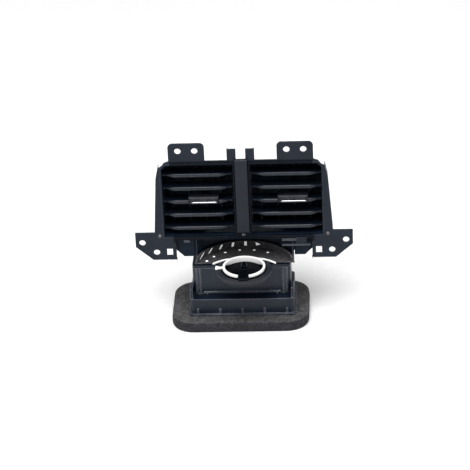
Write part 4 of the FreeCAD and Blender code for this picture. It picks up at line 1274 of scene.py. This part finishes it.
@dataclass
class SmallTrims(Piece):
    """Snap points on the tabs and ears, the ledge by the latch, and pegs on the duct's sill."""

    point_width: Mm = 1.2
    point_height: Mm = 1.6
    tab_place: tuple = (11.3 * MM, 162.9 * MM)
    ear_place: tuple = (59.5 * MM, 58.6 * MM)
    ear_height: Mm = 3.4
    ledge: tuple = (33.0 * MM, 58.0 * MM, 69.4 * MM, 70.7 * MM)
    pad: tuple = (45.8 * MM, 54.4 * MM, 69.8 * MM, 77.5 * MM)
    pegs: tuple = (-40.0 * MM, -33.4 * MM, 27.7 * MM, 33.4 * MM)
    peg_place: tuple = (-9.4 * MM, 25.6 * MM)
    peg_radius: Mm = 0.9
    peg_height: Mm = 2.0
    peg_chamfer: Mm = 0.3
    peg_steps: int = 20
    pad_depth: tuple = (-1.7 * MM, 0.4 * MM)
    ledge_depth: tuple = (-1.9 * MM, 0.4 * MM)
    corner: Mm = 0.3
    point_corner: Mm = 0.2
    point_sizes: tuple = (1.0, 0.55, 0.1)

    def plate(self, x: tuple, y: tuple, z: tuple) -> Array:
        """Upright plate with round corners, between its limits along each axis."""
        section = rounded_loop(x[1] - x[0], z[1] - z[0], self.corner, 3)
        origins = np.array([((x[0] + x[1]) / 2.0, level, (z[0] + z[1]) / 2.0) for level in y])
        return swept(section, origins, RIGHT, UP)

    def point(self, x: float, y: float, z: float, height: float) -> Array:
        """Four-sided point whose width shrinks to a tenth over its height."""
        base = rounded_loop(self.point_width, self.point_width, self.point_corner, 2)
        sections = np.array([base * size for size in self.point_sizes])
        origins = row(x, y, z) + UP * np.linspace(0.0, height, len(sections))[:, None]
        return swept(sections, origins, RIGHT, BACK)

    def build(self) -> None:
        """Make the points and the pad in black, and the ledge and the pegs in grey."""
        shape = Shape()
        points = ((*self.tab_place, self.point_height), (*self.ear_place, -self.ear_height))
        for sign in SIDES.values():
            for side, level, height in points:
                shape.grid(self.point(sign * side, 0.0, level, height), capped=True)
        left, right, low, high = self.pad
        shape.grid(self.plate((left, right), self.pad_depth, (low, high)), capped=True)
        self.vent.add(shape, "snap_points", "vent", "black_plastic")
        left, right, low, high = self.ledge
        shape = Shape().grid(self.plate((left, right), self.ledge_depth, (low, high)), capped=True)
        profile = pin_profile(self.peg_radius, 0.0, self.peg_height, self.peg_chamfer)
        for x in self.pegs:
            shape.grid(turned(profile, row(x, *self.peg_place), UP, self.peg_steps))
        self.vent.add(shape, "latch_ledge", "vent", "grey_plastic")


# Stage


@dataclass
class Stage:
    """Pale floor, soft light and the camera of the photograph."""

    target: tuple = (-7.642 * MM, -1.0 * MM, 80.452 * MM)
    elevation: float = math.radians(27.844)
    yaw: float = math.radians(3.288)
    roll: float = math.radians(-2.583)
    distance: float = 2.0
    focal_pixels: float = 2295.256
    sensor: float = 36.0
    clip_end: float = 50.0
    floor_half: float = 6.0
    aim: tuple = (0.0, 0.0, 0.08)
    sky_strength: float = 0.50
    lamps: tuple = (
        ("top_box", (-0.1, -0.55, 1.6), 1.3, 34.0),
        ("left_box", (-1.5, -1.0, 0.9), 1.0, 8.0),
        ("right_box", (1.5, -0.8, 1.0), 1.0, 6.0),
    )

    def camera(self) -> None:
        """Set the camera up along the line of sight: turned by yaw, tilted and rolled about it."""
        turn = Matrix.Rotation(self.yaw, 4, "Z")
        turn = turn @ Matrix.Rotation(math.pi / 2.0 - self.elevation, 4, "X")
        turn = turn @ Matrix.Rotation(self.roll, 4, "Z")
        place = Vector(self.target) + self.distance * turn.col[2].xyz
        data = bpy.data.cameras.new("view")
        data.sensor_width = self.sensor
        data.lens = self.focal_pixels * self.sensor / IMAGE_SIDE
        data.clip_end = self.clip_end
        camera = bpy.data.objects.new("view", data)
        camera.matrix_world = Matrix.Translation(place) @ turn
        bpy.context.scene.collection.objects.link(camera)
        bpy.context.scene.camera = camera

    def floor(self) -> None:
        """Large pale floor."""
        ends = (-self.floor_half, self.floor_half)
        corners = np.array([[(x, y, 0.0) for x in ends] for y in ends])
        plane = Shape().grid(corners, ring_columns=False).build("floor", FLOOR_PAPER)

    def lamp(self, name: str, place: tuple, size: float, power: float) -> None:
        """Hang a square soft light at a place, turned towards the vent."""
        data = bpy.data.lights.new(name, "AREA")
        data.shape = "SQUARE"
        data.size = size
        data.energy = power
        lamp = bpy.data.objects.new(name, data)
        away = Vector(place) - Vector(self.aim)
        turn = away.to_track_quat("Z", "Y").to_matrix().to_4x4()
        lamp.matrix_world = Matrix.Translation(Vector(place)) @ turn
        bpy.context.scene.collection.objects.link(lamp)

    def build(self) -> None:
        """Light the floor and the vent as in a white tent."""
        self.camera()
        self.floor()
        for lamp in self.lamps:
            self.lamp(*lamp)
        world = bpy.data.worlds.new("white_tent")
        world.use_nodes = True
        sky = world.node_tree.nodes["Background"]
        sky.inputs["Color"].default_value = (1.0, 1.0, 1.0, 1.0)
        sky.inputs["Strength"].default_value = self.sky_strength
        bpy.context.scene.world = world
        bpy.context.scene.view_settings.view_transform = "Standard"


def main() -> None:
    """Build the stage, dress the frame and add the finer pieces."""
    logging.basicConfig(level=logging.INFO, format="%(message)s")
    vent = Vent(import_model())
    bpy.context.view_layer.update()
    Stage().build()
    FoamSeal(vent).build()
    for side in SIDES:
        for number in range(1, SLAT_ROWS + 1):
            Slat(vent, side, number).build()
        KnobDress(vent, side).build()
    DialScale(vent).build()
    SpringRing(vent).build()
    ScrewHeads(vent).build()
    SmallTrims(vent).build()
    Mouldings(vent).dress()


if __name__ == "__main__":
    main()
